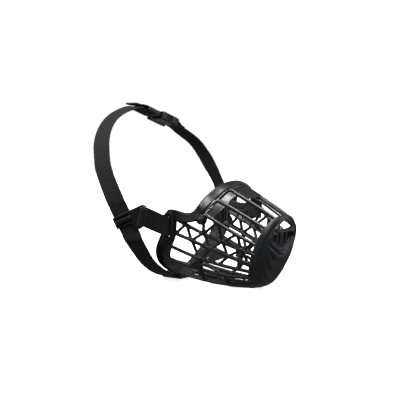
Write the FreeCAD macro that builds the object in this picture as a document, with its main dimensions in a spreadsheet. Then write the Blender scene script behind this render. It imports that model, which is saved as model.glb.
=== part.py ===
# Basket muzzle with a webbing harness and a side-release buckle.
# Frame while modelling: +X towards the nose, +Y the wearer's left, +Z up,
# origin under the chin at the rear rim.  Every sub-part is shifted at the end
# by the cells origin_x / origin_z so that the origin of the finished part is
# the middle of the underside of its bounding box.
import FreeCAD, Part
import math, os
from FreeCAD import Vector as V

doc = FreeCAD.newDocument("basket_muzzle")
sheet = doc.addObject("Spreadsheet::Sheet", "Sizes")

CELLS = [
    ("webbing_width", 20.0), ("webbing_thick", 1.5), ("cheek_thick", 1.3),
    ("bar_radius", 1.85), ("lattice_radius", 1.35), ("rib_radius", 1.45),
    ("rim_thick", 2.2), ("brow_thick", 2.2), ("cap_wall", 2.4), ("cap_depth", 12.5),
    ("half_width", 47.0), ("brow_offset", 2.4),
    ("slot_length", 22.5), ("slot_gap", 4.6), ("slot_mid_x", 17.6), ("slot_mid_z", 61.8),
    ("stud_x", 62.0), ("stud_z", 73.5), ("stud_shank", 2.0), ("stud_head", 3.7),
    ("stud_flange", 2.9), ("stud_hole", 2.25), ("eyelet_radius", 6.0),
    ("keeper_mid_x", -11.6), ("keeper_length", 18.0), ("keeper_bottom", -3.2),
    ("keeper_wall", 2.0), ("keeper_gap", 2.4), ("keeper_clear", 1.4),
    ("slide_front", 2.0), ("slide_back", 1.6), ("slide_gap", 1.15),
    ("slide_bar_rise", 1.2), ("slide_hand_angle", 40.0),
    ("buckle_width", 27.0), ("buckle_thick", 9.4), ("buckle_wall", 1.7),
    ("buckle_shell", 27.0), ("prong_width", 3.4), ("prong_thick", 4.4),
    ("lock_bar", 3.0), ("lock_slot", 4.2),
    ("origin_x", -24.7), ("origin_z", 3.2),
]
S = {}
for i, (name, value) in enumerate(CELLS):
    cell = "B%d" % (i + 1)
    sheet.set("A%d" % (i + 1), name)
    sheet.set(cell, str(value))
    sheet.setAlias(cell, name)
    S[name] = value
doc.recompute()


# ------------------------------------------------------------------ helpers
def unit(a):
    b = V(a)
    b.normalize()
    return b


def lerp(a, b, u):
    return a + (b - a) * u


def spline(points, per):
    """Catmull-Rom samples through points, 'per' samples a span."""
    pts = [V(*p) for p in points]
    out = []
    n = len(pts)
    for i in range(n - 1):
        p0 = pts[i - 1] if i > 0 else pts[0] * 2 - pts[1]
        p1, p2 = pts[i], pts[i + 1]
        p3 = pts[i + 2] if i + 2 < n else pts[-1] * 2 - pts[-2]
        for k in range(per):
            u = k / float(per)
            u2, u3 = u * u, u * u * u
            out.append((p1 * 2 + (p2 - p0) * u + (p0 * 2 - p1 * 5 + p2 * 4 - p3) * u2
                        + (p1 * 3 - p0 - p2 * 3 + p3) * u3) * 0.5)
    out.append(pts[-1])
    return out


def polygon(points):
    return Part.makePolygon(list(points) + [points[0]])


def loft(sections):
    """Ruled solid through a row of closed polygons with the same count of corners."""
    s = Part.makeLoft([polygon(p) for p in sections], True, True)
    if s.Volume < 0:
        s.reverse()
    return s


def ribbon(path, across, width, thick):
    """Flat webbing: rectangular sections along path, 'across' is the width direction."""
    sections = []
    n = len(path)
    for i, p in enumerate(path):
        a, b = path[max(0, i - 1)], path[min(n - 1, i + 1)]
        tangent = unit(b - a)
        w = across[i] - tangent * across[i].dot(tangent)
        w = unit(w)
        nrm = unit(tangent.cross(w))
        w, nrm = w * (width / 2.0), nrm * (thick / 2.0)
        sections.append([p - w - nrm, p + w - nrm, p + w + nrm, p - w + nrm])
    return loft(sections)


def rod(a, b, r):
    a, b = V(*a), V(*b)
    return Part.makeCylinder(r, (b - a).Length, a, b - a)


def rod_path(points, r, sides=8):
    """Round rib along a smooth path."""
    n = len(points)
    sections = []
    ref = None
    for i, p in enumerate(points):
        a, b = points[max(0, i - 1)], points[min(n - 1, i + 1)]
        t = unit(b - a)
        if ref is None:
            ref = V(0, 0, 1) if abs(t.z) < 0.8 else V(1, 0, 0)
        u = unit(ref - t * ref.dot(t))
        ref = u
        v = t.cross(u)
        sections.append([p + u * (r * math.cos(2 * math.pi * k / sides))
                         + v * (r * math.sin(2 * math.pi * k / sides)) for k in range(sides)])
    return loft(sections)


def band(rear, front, thick, centre):
    """Strip between two edge lines; thickness is set off towards 'centre' (a point inside)."""
    sections = []
    n = len(rear)
    for i in range(n):
        r, f = rear[i], front[i]
        a = (rear[max(0, i - 1)] + front[max(0, i - 1)]) * 0.5
        b = (rear[min(n - 1, i + 1)] + front[min(n - 1, i + 1)]) * 0.5
        nrm = unit((b - a).cross(f - r))
        mid = (r + f) * 0.5
        if nrm.dot(centre(mid) - mid) > 0:
            nrm = nrm * -1
        h = nrm * (thick / 2.0)
        sections.append([r - h, f - h, f + h, r + h])
    return loft(sections)


def mirror_y(shape):
    return shape.mirror(V(0, 0, 0), V(0, 1, 0))


def both(shape):
    return [shape, mirror_y(shape)]


def fuse(shapes):
    base = shapes[0]
    if len(shapes) > 1:
        base = base.fuse(shapes[1:])
    return base


def feature(name, shape):
    obj = doc.addObject("Part::Feature", name)
    obj.Label = name
    obj.Shape = shape
    return obj


def frame_placement(origin, x_axis, y_axis, z_axis):
    m = FreeCAD.Matrix(x_axis.x, y_axis.x, z_axis.x, origin.x,
                       x_axis.y, y_axis.y, z_axis.y, origin.y,
                       x_axis.z, y_axis.z, z_axis.z, origin.z,
                       0, 0, 0, 1)
    return FreeCAD.Placement(m)


NODES = []          # finished sub-part objects, in order


def node(obj):
    NODES.append(obj)
    return obj


# ------------------------------------------------------------------ basket wires
def cap_x(z):
    """Rear edge plane of the nose cap, which leans forward at the top."""
    return 103.4 + 0.42 * z


def cap_point(y, z, ahead=-1.2):
    return (cap_x(z) + ahead, y, z)


HW = S["half_width"]
BARS = {
    "A": [(76.2, -14.0, 102.2), cap_point(-11.9, 75.4)],
    "2": [(71.0, -31.0, 92.5), cap_point(-24.5, 66.6)],
    "3": [(67.2, -46.3, 77.4), cap_point(-30.6, 48.6)],
    "S1": [(29.0, -HW + 0.5, 69.4), (59.8, -42.9, 57.9), (90.0, -37.4, 47.6), cap_point(-32.0, 39.2)],
    "S2": [(21.6, -HW + 0.5, 55.9), (44.1, -44.0, 49.2), (77.0, -38.3, 38.4), cap_point(-31.0, 28.6)],
    "S3": [(13.1, -45.2, 41.8), (32.4, -43.2, 35.4), (51.0, -40.4, 30.1), (80.0, -34.8, 24.0), cap_point(-28.2, 19.6)],
    "S4": [(8.2, -41.4, 26.8), (35.2, -37.9, 19.8), (52.0, -35.1, 17.0), (72.0, -31.3, 13.6), (90.0, -27.7, 12.4),
           cap_point(-23.8, 11.9)],
}
BAR_PATH = {k: spline(v, 3) for k, v in BARS.items()}


def bar_at(key, x, sink=0.0):
    """Point on a bar's centre line at that X."""
    path = BAR_PATH[key]
    for p, q in zip(path, path[1:]):
        if p.x <= x <= q.x:
            r = lerp(p, q, (x - p.x) / (q.x - p.x))
            return (r.x, r.y + sink, r.z)
    raise ValueError(key)


def bar_rod(key, r):
    path = BAR_PATH[key]
    return rod(tuple(path[0]), tuple(path[-1]), r) if len(BARS[key]) == 2 else rod_path(path, r)


# ------------------------------------------------------------------ lower rim
rim_rear = [(11.2, -HW, 76.0), (9.8, -HW, 68.0), (8.6, -HW, 60.0), (6.2, -HW, 51.0), (0.8, -46.3, 40.8),
            (-2.6, -44.3, 32.6), (-4.4, -40.0, 24.0), (-4.4, -33.0, 16.0), (-2.9, -20.0, 7.8),
            (-0.6, -9.0, 3.4), (-0.2, 0.0, 2.6)]
rim_front = [(27.0, -HW, 74.0), (27.0, -HW, 67.0), (26.4, -HW, 60.0), (24.3, -HW, 51.6), (18.6, -46.3, 39.8),
             (14.3, -43.5, 32.0), (11.2, -38.6, 24.2), (9.6, -30.5, 16.2), (9.6, -18.0, 8.2),
             (10.0, -8.0, 3.6), (10.2, 0.0, 2.6)]
PER = 2
rr, rf = spline(rim_rear, PER), spline(rim_front, PER)
rear = rr + [V(p.x, -p.y, p.z) for p in reversed(rr[:-1])]
front = rf + [V(p.x, -p.y, p.z) for p in reversed(rf[:-1])]
rim_solid = band(rear, front, S["rim_thick"], lambda m: V(m.x, 0, 40.0))

# webbing slots through both cheeks of the rim (and, further on, of the brow band)
slot_box = doc.addObject("Part::Box", "cheek_slot_tool")
slot_box.setExpression("Length", "Sizes.slot_gap")
slot_box.setExpression("Height", "Sizes.slot_length")
slot_box.Width = 130
slot_box.Placement = FreeCAD.Placement(
    V(S["slot_mid_x"] - S["slot_gap"] / 2, -65, S["slot_mid_z"] - S["slot_length"] / 2), FreeCAD.Rotation())
doc.recompute()
slot_tool = slot_box.Shape.copy()
rim_solid = rim_solid.cut(slot_tool)

# ------------------------------------------------------------------ chin keeper (belt loop under the chin)
kx, kl = S["keeper_mid_x"], S["keeper_length"]
kw = S["webbing_width"] + 2 * S["keeper_clear"]
outer = doc.addObject("Part::Box", "keeper_block")
outer.setExpression("Length", "Sizes.webbing_width + 2 * Sizes.keeper_clear + 2 * Sizes.keeper_wall")
outer.setExpression("Width", "Sizes.keeper_length")
outer.setExpression("Height", "Sizes.keeper_gap + 2 * Sizes.keeper_wall")
outer.Placement = FreeCAD.Placement(V(kx - kw / 2 - S["keeper_wall"], -kl / 2, S["keeper_bottom"]), FreeCAD.Rotation())
inner = doc.addObject("Part::Box", "keeper_tunnel")
inner.setExpression("Length", "Sizes.webbing_width + 2 * Sizes.keeper_clear")
inner.setExpression("Width", "Sizes.keeper_length + 4")
inner.setExpression("Height", "Sizes.keeper_gap")
inner.Placement = FreeCAD.Placement(V(kx - kw / 2, -kl / 2 - 2, S["keeper_bottom"] + S["keeper_wall"]), FreeCAD.Rotation())
keeper_cut = doc.addObject("Part::Cut", "keeper_cut")
keeper_cut.Base, keeper_cut.Tool = outer, inner
doc.recompute()
edges = [i + 1 for i, e in enumerate(keeper_cut.Shape.Edges)
         if abs(abs(e.tangentAt(e.FirstParameter).y) - 1) < 1e-6
         and (e.CenterOfMass.z < S["keeper_bottom"] + 0.1 or e.CenterOfMass.z > S["keeper_bottom"] + 6.3)]
chin_keeper = doc.addObject("Part::Fillet", "chin_keeper")
chin_keeper.Base = keeper_cut
chin_keeper.Edges = [(i, 0.9, 0.9) for i in edges]
chin_keeper.Label = "chin_keeper"
doc.recompute()
keeper_shape = chin_keeper.Shape.copy()

rim_solid = rim_solid.cut(keeper_shape)
lower_rim = node(feature("lower_rim_band", rim_solid))
node(chin_keeper)

# ------------------------------------------------------------------ nose cap
outline = [(0, 78.2), (7, 77.9), (14, 76.6), (21.0, 72.6), (27.0, 66.8), (31.0, 59.5), (33.0, 51.3), (33.4, 40.6),
           (31.8, 30.2), (28.6, 22.0), (24.9, 13.2), (21.4, 7.2), (16.5, 1.8), (9.0, -1.6), (0, -2.6)]
cap_n = unit(V(1, 0, -0.42))
cap_v = unit(V(0.42, 0, 1))


def cap_ring(scale, depth, grow=0.0):
    pts = []
    mid = V(cap_x(38.0), 0, 38.0)
    ring = [(y, z) for y, z in outline] + [(-y, z) for y, z in reversed(outline[1:-1])]
    for y, z in ring:
        p = V(cap_x(z), y, z)
        d = p - mid
        k = scale + (grow / d.Length)
        pts.append(mid + d * k + cap_n * depth)
    return pts


def dome(r):
    return S["cap_depth"] * (1.0 - r ** 3.0)


levels = [1.0, 0.975, 0.93, 0.86, 0.76, 0.62, 0.45, 0.28]
cap_outer = loft([cap_ring(1.0, -3.2)] + [cap_ring(r, dome(r)) for r in levels])
cap_inner = loft([cap_ring(1.0, -6.0, -S["cap_wall"])]
                 + [cap_ring(r, dome(r) - S["cap_wall"], -S["cap_wall"]) for r in levels])
cap = cap_outer.cut(cap_inner)


def cap_tool(pts, deep=30.0):
    """Prism through the cap, outline given as (y, height along the leaning face)."""
    base = V(cap_x(0), 0, 0) - cap_n * 8.0
    f = Part.Face(polygon([base + V(0, y, 0) + cap_v * (z * 1.0846) for y, z in pts]))
    return f.extrude(cap_n * deep)


eye = [(-15.8, 65.6), (-11.0, 69.6), (-5.5, 73.0), (0, 74.4), (5.5, 73.0), (11.0, 69.6), (15.8, 65.6),
       (10.5, 63.7), (5.0, 62.9), (0, 62.7), (-5.0, 62.9), (-10.5, 63.7)]
cap = cap.cut(cap_tool(eye))
for y, z0, z1 in ((-5.2, 44.5, 58.5), (5.2, 44.5, 58.5), (-12.8, 48.5, 58.5), (12.8, 48.5, 58.5)):
    cap = cap.cut(cap_tool([(y - 1.9, z0), (y + 1.9, z0), (y + 1.9, z1), (y - 1.9, z1)]))
cap_core = cap_outer.copy()

# ------------------------------------------------------------------ side lattices
br, lr = S["bar_radius"], S["lattice_radius"]
eyelet = (S["stud_x"], -HW, S["stud_z"])
side = [bar_rod(k, br) for k in ("S1", "S2", "S3", "S4")]
rail_y = -HW + 0.25
upper = [V(24.0, rail_y, 72.4), V(33.0, rail_y, 71.2), V(42.0, rail_y, 70.8), V(52.0, rail_y, 71.6), V(57.4, rail_y, 72.6)]
side.append(rod_path(upper, 1.3))
arms = [(bar_at("S2", 27.0, 0.3), bar_at("S1", 36.5, 0.3)), (bar_at("S1", 38.8, 0.3), bar_at("S2", 44.2, 0.3)),
        (bar_at("S2", 45.0, 0.3), bar_at("S1", 59.3, 0.3)), (bar_at("S1", 60.6, 0.3), bar_at("S2", 66.6, 0.3)),
        (bar_at("S2", 67.6, 0.3), bar_at("S1", 81.6, 0.3)), (bar_at("S1", 82.6, 0.3), bar_at("S2", 87.4, 0.3)),
        (bar_at("S2", 88.6, 0.3), bar_at("S1", 103.6, 0.3)), (bar_at("S1", 104.6, 0.3), bar_at("S2", 110.4, 0.3)),
        (bar_at("S1", 60.0, 0.3), (62.6, -HW + 0.3, 68.6)), (bar_at("S1", 60.8, 0.3), bar_at("3", 79.3, 0.4)),
        (bar_at("3", 80.3, 0.4), bar_at("S1", 81.9, 0.3)), (bar_at("S1", 83.0, 0.3), bar_at("3", 100.4, 0.4)),
        (bar_at("3", 101.4, 0.4), bar_at("S1", 104.0, 0.3)), (bar_at("S1", 105.0, 0.3), bar_at("3", 117.6, 0.4)),
        (bar_at("S2", 45.6, 0.3), bar_at("S3", 50.4, 0.3)), (bar_at("S3", 51.8, 0.3), bar_at("S2", 66.0, 0.3)),
        (bar_at("S3", 75.0, 0.3), bar_at("S2", 88.0, 0.3)), (bar_at("S3", 96.5, 0.3), bar_at("S2", 107.2, 0.3)),
        (bar_at("S3", 51.0, 0.3), bar_at("S4", 49.6, 0.3))]
for i, (a, b) in enumerate(arms):
    # arms meet bars at uneven radii so that no two surfaces coincide
    side.append(rod(a, b, lr + 0.03 * (i % 4)))
side.append(rod_path(spline([(51.9, -39.6, 23.2), (59.8, -37.5, 21.8), (65.6, -35.4, 19.4), (71.2, -32.4, 15.8), (74.6, -31.0, 13.6)], 2), lr + 0.14))
side_raw = fuse(side)
side_raw = side_raw.cut(fuse([cap_core, rim_solid]))
side_raw = side_raw.cut(slot_tool)

# ------------------------------------------------------------------ chin grille
belly = {
    "B1": [(6.0, -23.5, 10.0), (35.0, -24.5, 4.6), (75.0, -22.6, 1.6), cap_point(-17.0, 3.6)],
    "B0": [(6.0, -8.4, 3.6), (35.0, -8.8, -0.4), (75.0, -8.8, -1.6), cap_point(-7.8, -0.6)],
}
gr, gl = 1.6, 1.2
grille = []
for pts in belly.values():
    g = rod_path(spline(pts, 3), gr)
    grille += both(g)
cross = [[(48.6, -36.0, 17.6), (46.0, -25.0, 3.6), (46.0, -9.0, -1.0), (46.0, 0, -1.5)],
         [(78.4, -28.9, 17.0), (78.0, -22.4, 1.5), (79.0, -8.8, -1.7), (79.5, 0, -1.8)]]
for pts in cross:
    half = [V(*p) for p in pts]
    whole = half + [V(p.x, -p.y, p.z) for p in reversed(half[:-1])]
    grille.append(rod_path(whole, gl + 0.15))
# diagonals: each one runs a little way past the bar that it meets
grille.append(rod((45.2, 9.6, -1.1), (79.8, -9.4, -1.75), gl - 0.1))
grille.append(rod((45.2, -9.6, -1.05), (79.8, 9.4, -1.6), gl))
for y in (-1, 1):
    grille.append(rod((46.8, y * 8.4, -1.15), (25.4, y * 24.6, 6.1), gl - 0.05))
    grille.append(rod((62.6, y * 23.8, 2.3), (45.5, y * 8.5, -1.2), gl - 0.15))
    grille.append(rod((61.6, y * 23.9, 2.5), (79.6, y * 8.4, -1.75), gl + 0.05))
grille_all = grille[0]
for q, g in enumerate(grille[1:]):
    grille_all = grille_all.fuse(g)
    if not grille_all.isValid():
        print("grille went bad at", q + 1)
print("grille fused", grille_all.isValid(), grille_all.Volume)
grille_raw = grille_all.cut(cap_core)
print("grille less cap", grille_raw.isValid(), grille_raw.Volume)
grille_raw = grille_raw.cut(rim_solid)
print("grille less rim", grille_raw.isValid(), grille_raw.Volume)
grille_raw = grille_raw.cut(keeper_shape)
print("grille less keeper", grille_raw.isValid(), grille_raw.Volume)

# ------------------------------------------------------------------ arch rib with its eyelets
arch_half = [(62.2, -HW, 78.4), (63.2, -46.0, 80.6), (66.0, -41.6, 86.0), (68.6, -36.5, 90.4), (70.8, -31.0, 94.0),
             (72.8, -22.0, 100.0), (74.4, -12.0, 103.9), (75.0, 0.0, 105.4)]
ah = spline(arch_half, 2)
arch = ah + [V(p.x, -p.y, p.z) for p in reversed(ah[:-1])]
arch_shape = rod_path(arch, S["rib_radius"])
rings = []
for s in (-1, 1):
    ring = Part.makeCylinder(S["eyelet_radius"], 2.4, V(S["stud_x"], s * (HW - 1.2), S["stud_z"]), V(0, s, 0))
    rings.append(ring)
# thin solid web just inside the bars, from the rib 9 mm forward
web_rear, web_front = [], []
for p in spline(arch_half[1:], 2):
    k = abs(p.y) / HW
    web_rear.append(V(p.x + 0.4, p.y * 0.985, p.z - 0.6))
    web_front.append(V(p.x + 9.0, p.y + 2.4 * k ** 1.5, p.z - 4.3 + 0.5 * k))
web_rear += [V(p.x, -p.y, p.z) for p in reversed(web_rear[:-1])]
web_front += [V(p.x, -p.y, p.z) for p in reversed(web_front[:-1])]
web = band(web_rear, web_front, 1.3, lambda m: V(m.x, 0, 60.0))
arch_shape = fuse([arch_shape, web] + rings)
for s in (-1, 1):
    hole = Part.makeCylinder(S["stud_hole"], 20, V(S["stud_x"], s * (HW - 8), S["stud_z"]), V(0, s, 0))
    arch_shape = arch_shape.cut(hole)
arch_rib = node(feature("arch_rib", arch_shape))

side_r = side_raw.cut(arch_shape)


def whole(shape, least=5.0):
    """Drop slivers that a cut left behind."""
    keep = [s for s in shape.Solids if s.Volume > least]
    return keep[0] if len(keep) == 1 else Part.makeCompound(keep)


side_r = whole(side_r)
grille_raw = whole(grille_raw)
node(feature("side_lattice_right", side_r))
node(feature("side_lattice_left", mirror_y(side_r)))
node(feature("chin_grille", grille_raw))

# ------------------------------------------------------------------ bridge bars over the top
top = []
for k in ("A", "2", "3"):
    top += both(bar_rod(k, br))
bridge = fuse(top).cut(fuse([cap_core, arch_shape, side_r, mirror_y(side_r)]))
node(feature("bridge_bars", bridge))
node(feature("nose_cap", cap))

# ------------------------------------------------------------------ brow band, separate moulding
off = S["brow_offset"]
b_rear = [(11.6, 50.5), (11.4, 60.0), (12.6, 70.0), (14.5, 77.0), (18.0, 80.4), (25.0, 80.9), (33.0, 79.9), (41.0, 79.1),
          (48.3, 80.0), (54.0, 83.4)]
b_front = [(25.0, 50.5), (25.2, 58.0), (25.4, 64.0), (26.0, 68.4), (29.0, 69.2), (33.0, 68.9), (38.0, 68.5), (44.0, 68.6),
           (50.6, 69.8), (56.4, 73.0)]
rear_pts = [(x, -HW - off, z) for x, z in b_rear]
front_pts = [(x, -HW - off, z) for x, z in b_front]
rear_pts += [(57.4, -48.6, 88.0), (59.6, -44.0, 93.4), (61.4, -38.5, 98.6), (62.6, -31.0, 103.0), (63.6, -21.0, 106.9),
             (64.6, -10.0, 109.3), (65.0, 0.0, 109.9)]
front_pts += [(61.2, -49.0, 79.2), (64.0, -46.4, 84.2), (67.2, -40.2, 90.2), (69.8, -32.2, 95.4), (71.8, -21.9, 101.4),
              (73.2, -11.0, 105.2), (73.8, 0.0, 106.6)]
R, F = spline(rear_pts, 2), spline(front_pts, 2)
R = R + [V(p.x, -p.y, p.z) for p in reversed(R[:-1])]
F = F + [V(p.x, -p.y, p.z) for p in reversed(F[:-1])]
brow = band(R, F, S["brow_thick"], lambda m: V(m.x, 0, 60.0))
lugs = []
for s in (-1, 1):
    lugs.append(Part.makeCylinder(5.6, S["brow_thick"], V(S["stud_x"] - 1.0, s * (HW + off - 1.1), S["stud_z"]), V(0, s, 0)))
brow = fuse([brow] + lugs)
brow = brow.cut(slot_tool)
for s in (-1, 1):
    brow = brow.cut(Part.makeCylinder(S["stud_hole"], 20, V(S["stud_x"], s * (HW - 8), S["stud_z"]), V(0, s, 0)))
brow = brow.cut(rod_path(arch, S["rib_radius"] + 0.35))
for s in (-1, 1):
    brow = brow.cut(Part.makeCylinder(S["eyelet_radius"] + 0.3, 8, V(S["stud_x"], s * (HW + 1.25 - 8), S["stud_z"]), V(0, s, 0)))
brow = max(brow.Solids, key=lambda q: q.Volume)
node(feature("brow_band", brow))


# ------------------------------------------------------------------ PartDesign helpers
def new_body(name):
    b = doc.addObject("PartDesign::Body", name)
    b.Label = name
    return b


def plane(b, role):
    return [f for f in b.Origin.OriginFeatures if f.Role == role][0]


def sketch(b, role, name, offset=0.0):
    sk = b.newObject("Sketcher::SketchObject", name)
    sk.AttachmentSupport = (plane(b, role), "")
    sk.MapMode = "FlatFace"
    sk.AttachmentOffset = FreeCAD.Placement(V(0, 0, offset), FreeCAD.Rotation())
    return sk


def add_polygon(sk, pts):
    import Sketcher
    first = len(sk.Geometry)
    n = len(pts)
    for i in range(n):
        a, c = pts[i], pts[(i + 1) % n]
        sk.addGeometry(Part.LineSegment(V(a[0], a[1], 0), V(c[0], c[1], 0)), False)
    for i in range(n):
        sk.addConstraint(Sketcher.Constraint("Coincident", first + i, 2, first + (i + 1) % n, 1))
    return first


def add_rect(sk, x0, y0, w_expr, h_expr, w, h):
    """Rectangle with its lower left corner at x0, y0 and its sides bound to the sheet."""
    import Sketcher
    f = add_polygon(sk, [(x0, y0), (x0 + w, y0), (x0 + w, y0 + h), (x0, y0 + h)])
    sk.addConstraint([Sketcher.Constraint("Horizontal", f), Sketcher.Constraint("Vertical", f + 1),
                      Sketcher.Constraint("Horizontal", f + 2), Sketcher.Constraint("Vertical", f + 3)])
    sk.addConstraint(Sketcher.Constraint("DistanceX", -1, 1, f, 1, x0) if x0 >= 0 else
                     Sketcher.Constraint("DistanceX", f, 1, -1, 1, -x0))
    sk.addConstraint(Sketcher.Constraint("DistanceY", -1, 1, f, 1, y0) if y0 >= 0 else
                     Sketcher.Constraint("DistanceY", f, 1, -1, 1, -y0))
    i = sk.addConstraint(Sketcher.Constraint("DistanceX", f, 1, f, 2, w))
    sk.setExpression("Constraints[%d]" % i, w_expr)
    i = sk.addConstraint(Sketcher.Constraint("DistanceY", f + 1, 1, f + 1, 2, h))
    sk.setExpression("Constraints[%d]" % i, h_expr)
    return f


# ------------------------------------------------------------------ snap studs
def snap_stud(name, side_sign):
    import Sketcher
    b = new_body(name)
    sk = sketch(b, "XY_Plane", name + "_profile")
    # half profile: x is the radius, y runs outwards along the pin
    sh, hd, fl = S["stud_shank"], S["stud_head"], S["stud_flange"]
    inner0, inner1 = HW - 2.9, HW - 1.35
    out0, out1 = HW + off + 1.25, HW + off + 2.9
    pts = [(0, inner0), (fl - 0.7, inner0), (fl, inner1), (sh, inner1), (sh, out0), (hd, out0),
           (hd, out0 + 0.7), (hd - 0.9, out1), (0, out1)]
    f = add_polygon(sk, pts)
    i = sk.addConstraint(Sketcher.Constraint("DistanceX", -1, 1, f + 3, 2, sh))
    sk.setExpression("Constraints[%d]" % i, "Sizes.stud_shank")
    rev = b.newObject("PartDesign::Revolution", name + "_turned")
    rev.Profile = sk
    rev.ReferenceAxis = (plane_axis(b, "Y_Axis"), [""])
    rev.Angle = 360
    rot = FreeCAD.Rotation(V(0, 0, 1), 180) if side_sign < 0 else FreeCAD.Rotation()
    b.Placement = FreeCAD.Placement(V(S["stud_x"], 0, S["stud_z"]), rot)
    return b


def plane_axis(b, role):
    return [f for f in b.Origin.OriginFeatures if f.Role == role][0]


node(snap_stud("snap_stud_right", -1))
node(snap_stud("snap_stud_left", 1))
doc.recompute()


# ------------------------------------------------------------------ loop frames
def loop_frame(t, roll):
    """Directions on the webbing loop: w across (towards the nose), n inwards, t along."""
    t = unit(t)
    w0 = unit(V(1, 0, 0) - t * t.x)
    n0 = t.cross(w0)
    c, s = math.cos(math.radians(roll)), math.sin(math.radians(roll))
    w = w0 * c + n0 * s
    return w, t.cross(w), t


SL_C = V(-11.8, -86.0, 71.4)
sl_w, sl_n, sl_t = loop_frame(V(-0.39, -0.19, 0.90), 22.0)
BK_C = V(-70.0, 39.5, 169.2)
bk_w, bk_n, bk_t = loop_frame(V(0.2, 0.887, -0.41), 0.0)

# ------------------------------------------------------------------ strap slide (right), webbing sleeve with an angled side slot
slide = new_body("strap_slide_right")
gap = S["slide_gap"]
outline_wt = [(-13.0, -6.5), (4.9, -6.5), (5.4, -10.3), (6.4, -12.0), (10.6, -15.9), (12.6, -15.5), (27.2, 2.0), (27.3, 3.9),
              (24.6, 7.2), (-13.0, 7.0)]
# XZ plane sketches: x -> w, y -> t, the plane's normal is -Y of the body (outwards)
sk = sketch(slide, "XZ_Plane", "slide_outline")
add_polygon(sk, outline_wt)
pad = slide.newObject("PartDesign::Pad", "slide_plate")
pad.Profile = sk
pad.Type = 0
pad.SideType = "Two sides"
pad.setExpression("Length", "Sizes.slide_gap + Sizes.slide_front")
pad.setExpression("Length2", "Sizes.slide_gap + Sizes.slide_back")
doc.recompute()
ca, sa = math.cos(math.radians(S["slide_hand_angle"])), math.sin(math.radians(S["slide_hand_angle"]))


def ub(u, b):
    return (u * ca + b * sa, -u * sa + b * ca)


sk = sketch(slide, "XZ_Plane", "side_slot")
add_polygon(sk, [ub(13.0, -2.5), ub(16.2, -2.5), ub(16.2, 19.0), ub(13.0, 19.0)])
poc = slide.newObject("PartDesign::Pocket", "side_slot_cut")
poc.Profile = sk
poc.Type = 1
poc.Midplane = True
doc.recompute()
sk = sketch(slide, "XY_Plane", "tunnel_end")
add_rect(sk, -12.2, -gap, "21.4", "2 * Sizes.slide_gap", 21.4, 2 * gap)
poc = slide.newObject("PartDesign::Pocket", "tunnel_cut")
poc.Profile = sk
poc.Type = 1
poc.Midplane = True
doc.recompute()
# front window with a raised centre bar over the webbing
sk = sketch(slide, "XZ_Plane", "window", gap + 0.9)
add_polygon(sk, [(-11.6, -4.6), (8.6, -4.6), (8.6, 4.9), (-11.6, 4.9)])
poc = slide.newObject("PartDesign::Pocket", "window_recess")
poc.Profile = sk
poc.Length = 4
poc.Reversed = True
doc.recompute()
vol_after = slide.Shape.Volume
sk = sketch(slide, "XZ_Plane", "centre_bar", gap + 0.5)
add_polygon(sk, [(-10.8, -1.2), (-10.0, -1.9), (7.0, -1.9), (7.8, -1.2), (7.8, 1.6), (7.0, 2.3), (-10.0, 2.3), (-10.8, 1.6)])
pad = slide.newObject("PartDesign::Pad", "raised_bar")
pad.Profile = sk
pad.setExpression("Length", "Sizes.slide_front + Sizes.slide_bar_rise - 0.5")
doc.recompute()
slide.Placement = frame_placement(SL_C, sl_w, sl_n, sl_t)
doc.recompute()
node(slide)
slide_l = doc.addObject("Part::Mirroring", "strap_slide_left")
slide_l.Label = "strap_slide_left"
slide_l.Source = slide
slide_l.Base = V(0, 0, 0)
slide_l.Normal = V(0, 1, 0)
doc.recompute()
node(slide_l)
print("slide volume", slide.Shape.Volume, "after window", vol_after, slide.Shape.isValid(),
      "box", [round(x, 1) for x in (slide.Shape.BoundBox.XMin, slide.Shape.BoundBox.XMax, slide.Shape.BoundBox.YMin,
              slide.Shape.BoundBox.YMax, slide.Shape.BoundBox.ZMin, slide.Shape.BoundBox.ZMax)])


# ------------------------------------------------------------------ straps
def slide_at(k):
    """Centre of the webbing in the sleeve, which sits 1.5 to the rear of the slide's own middle."""
    return SL_C - sl_w * 1.5 + sl_t * k


def roll_dir(p_prev, p_next, roll):
    return loop_frame(p_next - p_prev, roll)[0]


def tup(v):
    return (v.x, v.y, v.z)


def loop_ribbon(ctrl, per):
    """ctrl: (point, roll) pairs, as (x, y, z, roll)."""
    pts = spline([c[:3] for c in ctrl], per)
    rolls = [q.x for q in spline([(c[3], 0, 0) for c in ctrl], per)]
    across = []
    n = len(pts)
    for i in range(n):
        a, b = pts[max(0, i - 1)], pts[min(n - 1, i + 1)]
        across.append(loop_frame(b - a, rolls[i])[0])
    return pts, across


chin_half = [(-11.6, -0.0, 0.0, 0.0), (-11.6, -6.0, 0.0, 0.0), (-11.6, -10.0, 0.0, 0.0), (-11.7, -15.0, 1.1, 4.0),
             (-12.0, -25.0, 5.3, 8.0), (-12.0, -36.0, 11.0, 9.0), (-10.6, -52.0, 21.6, 8.0), (-7.0, -68.0, 36.0, 9.0),
             tup(slide_at(-24.0)) + (20.0,), tup(slide_at(-16.0)) + (22.0,), tup(slide_at(-8.0)) + (22.0,),
             tup(slide_at(0.0)) + (22.0,)]
pts, across = loop_ribbon(chin_half, 3)
# the strap is symmetric, so the roll and the width directions mirror with it
far = [V(p.x, -p.y, p.z) for p in pts]
far_across = [V(a.x, -a.y, a.z) for a in across]
chin_pts = list(reversed(far))[:-1] + pts
chin_across = list(reversed(far_across))[:-1] + across
cut_at = 0.15   # the two straps end inside the sleeve, a hair apart
chin_pts[0] = V(*tup(V(slide_at(-cut_at).x, -slide_at(-cut_at).y, slide_at(-cut_at).z)))
chin_pts[-1] = slide_at(-cut_at)
chin_strap = ribbon(chin_pts, chin_across, S["webbing_width"], S["webbing_thick"])
node(feature("chin_strap", chin_strap))


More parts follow.
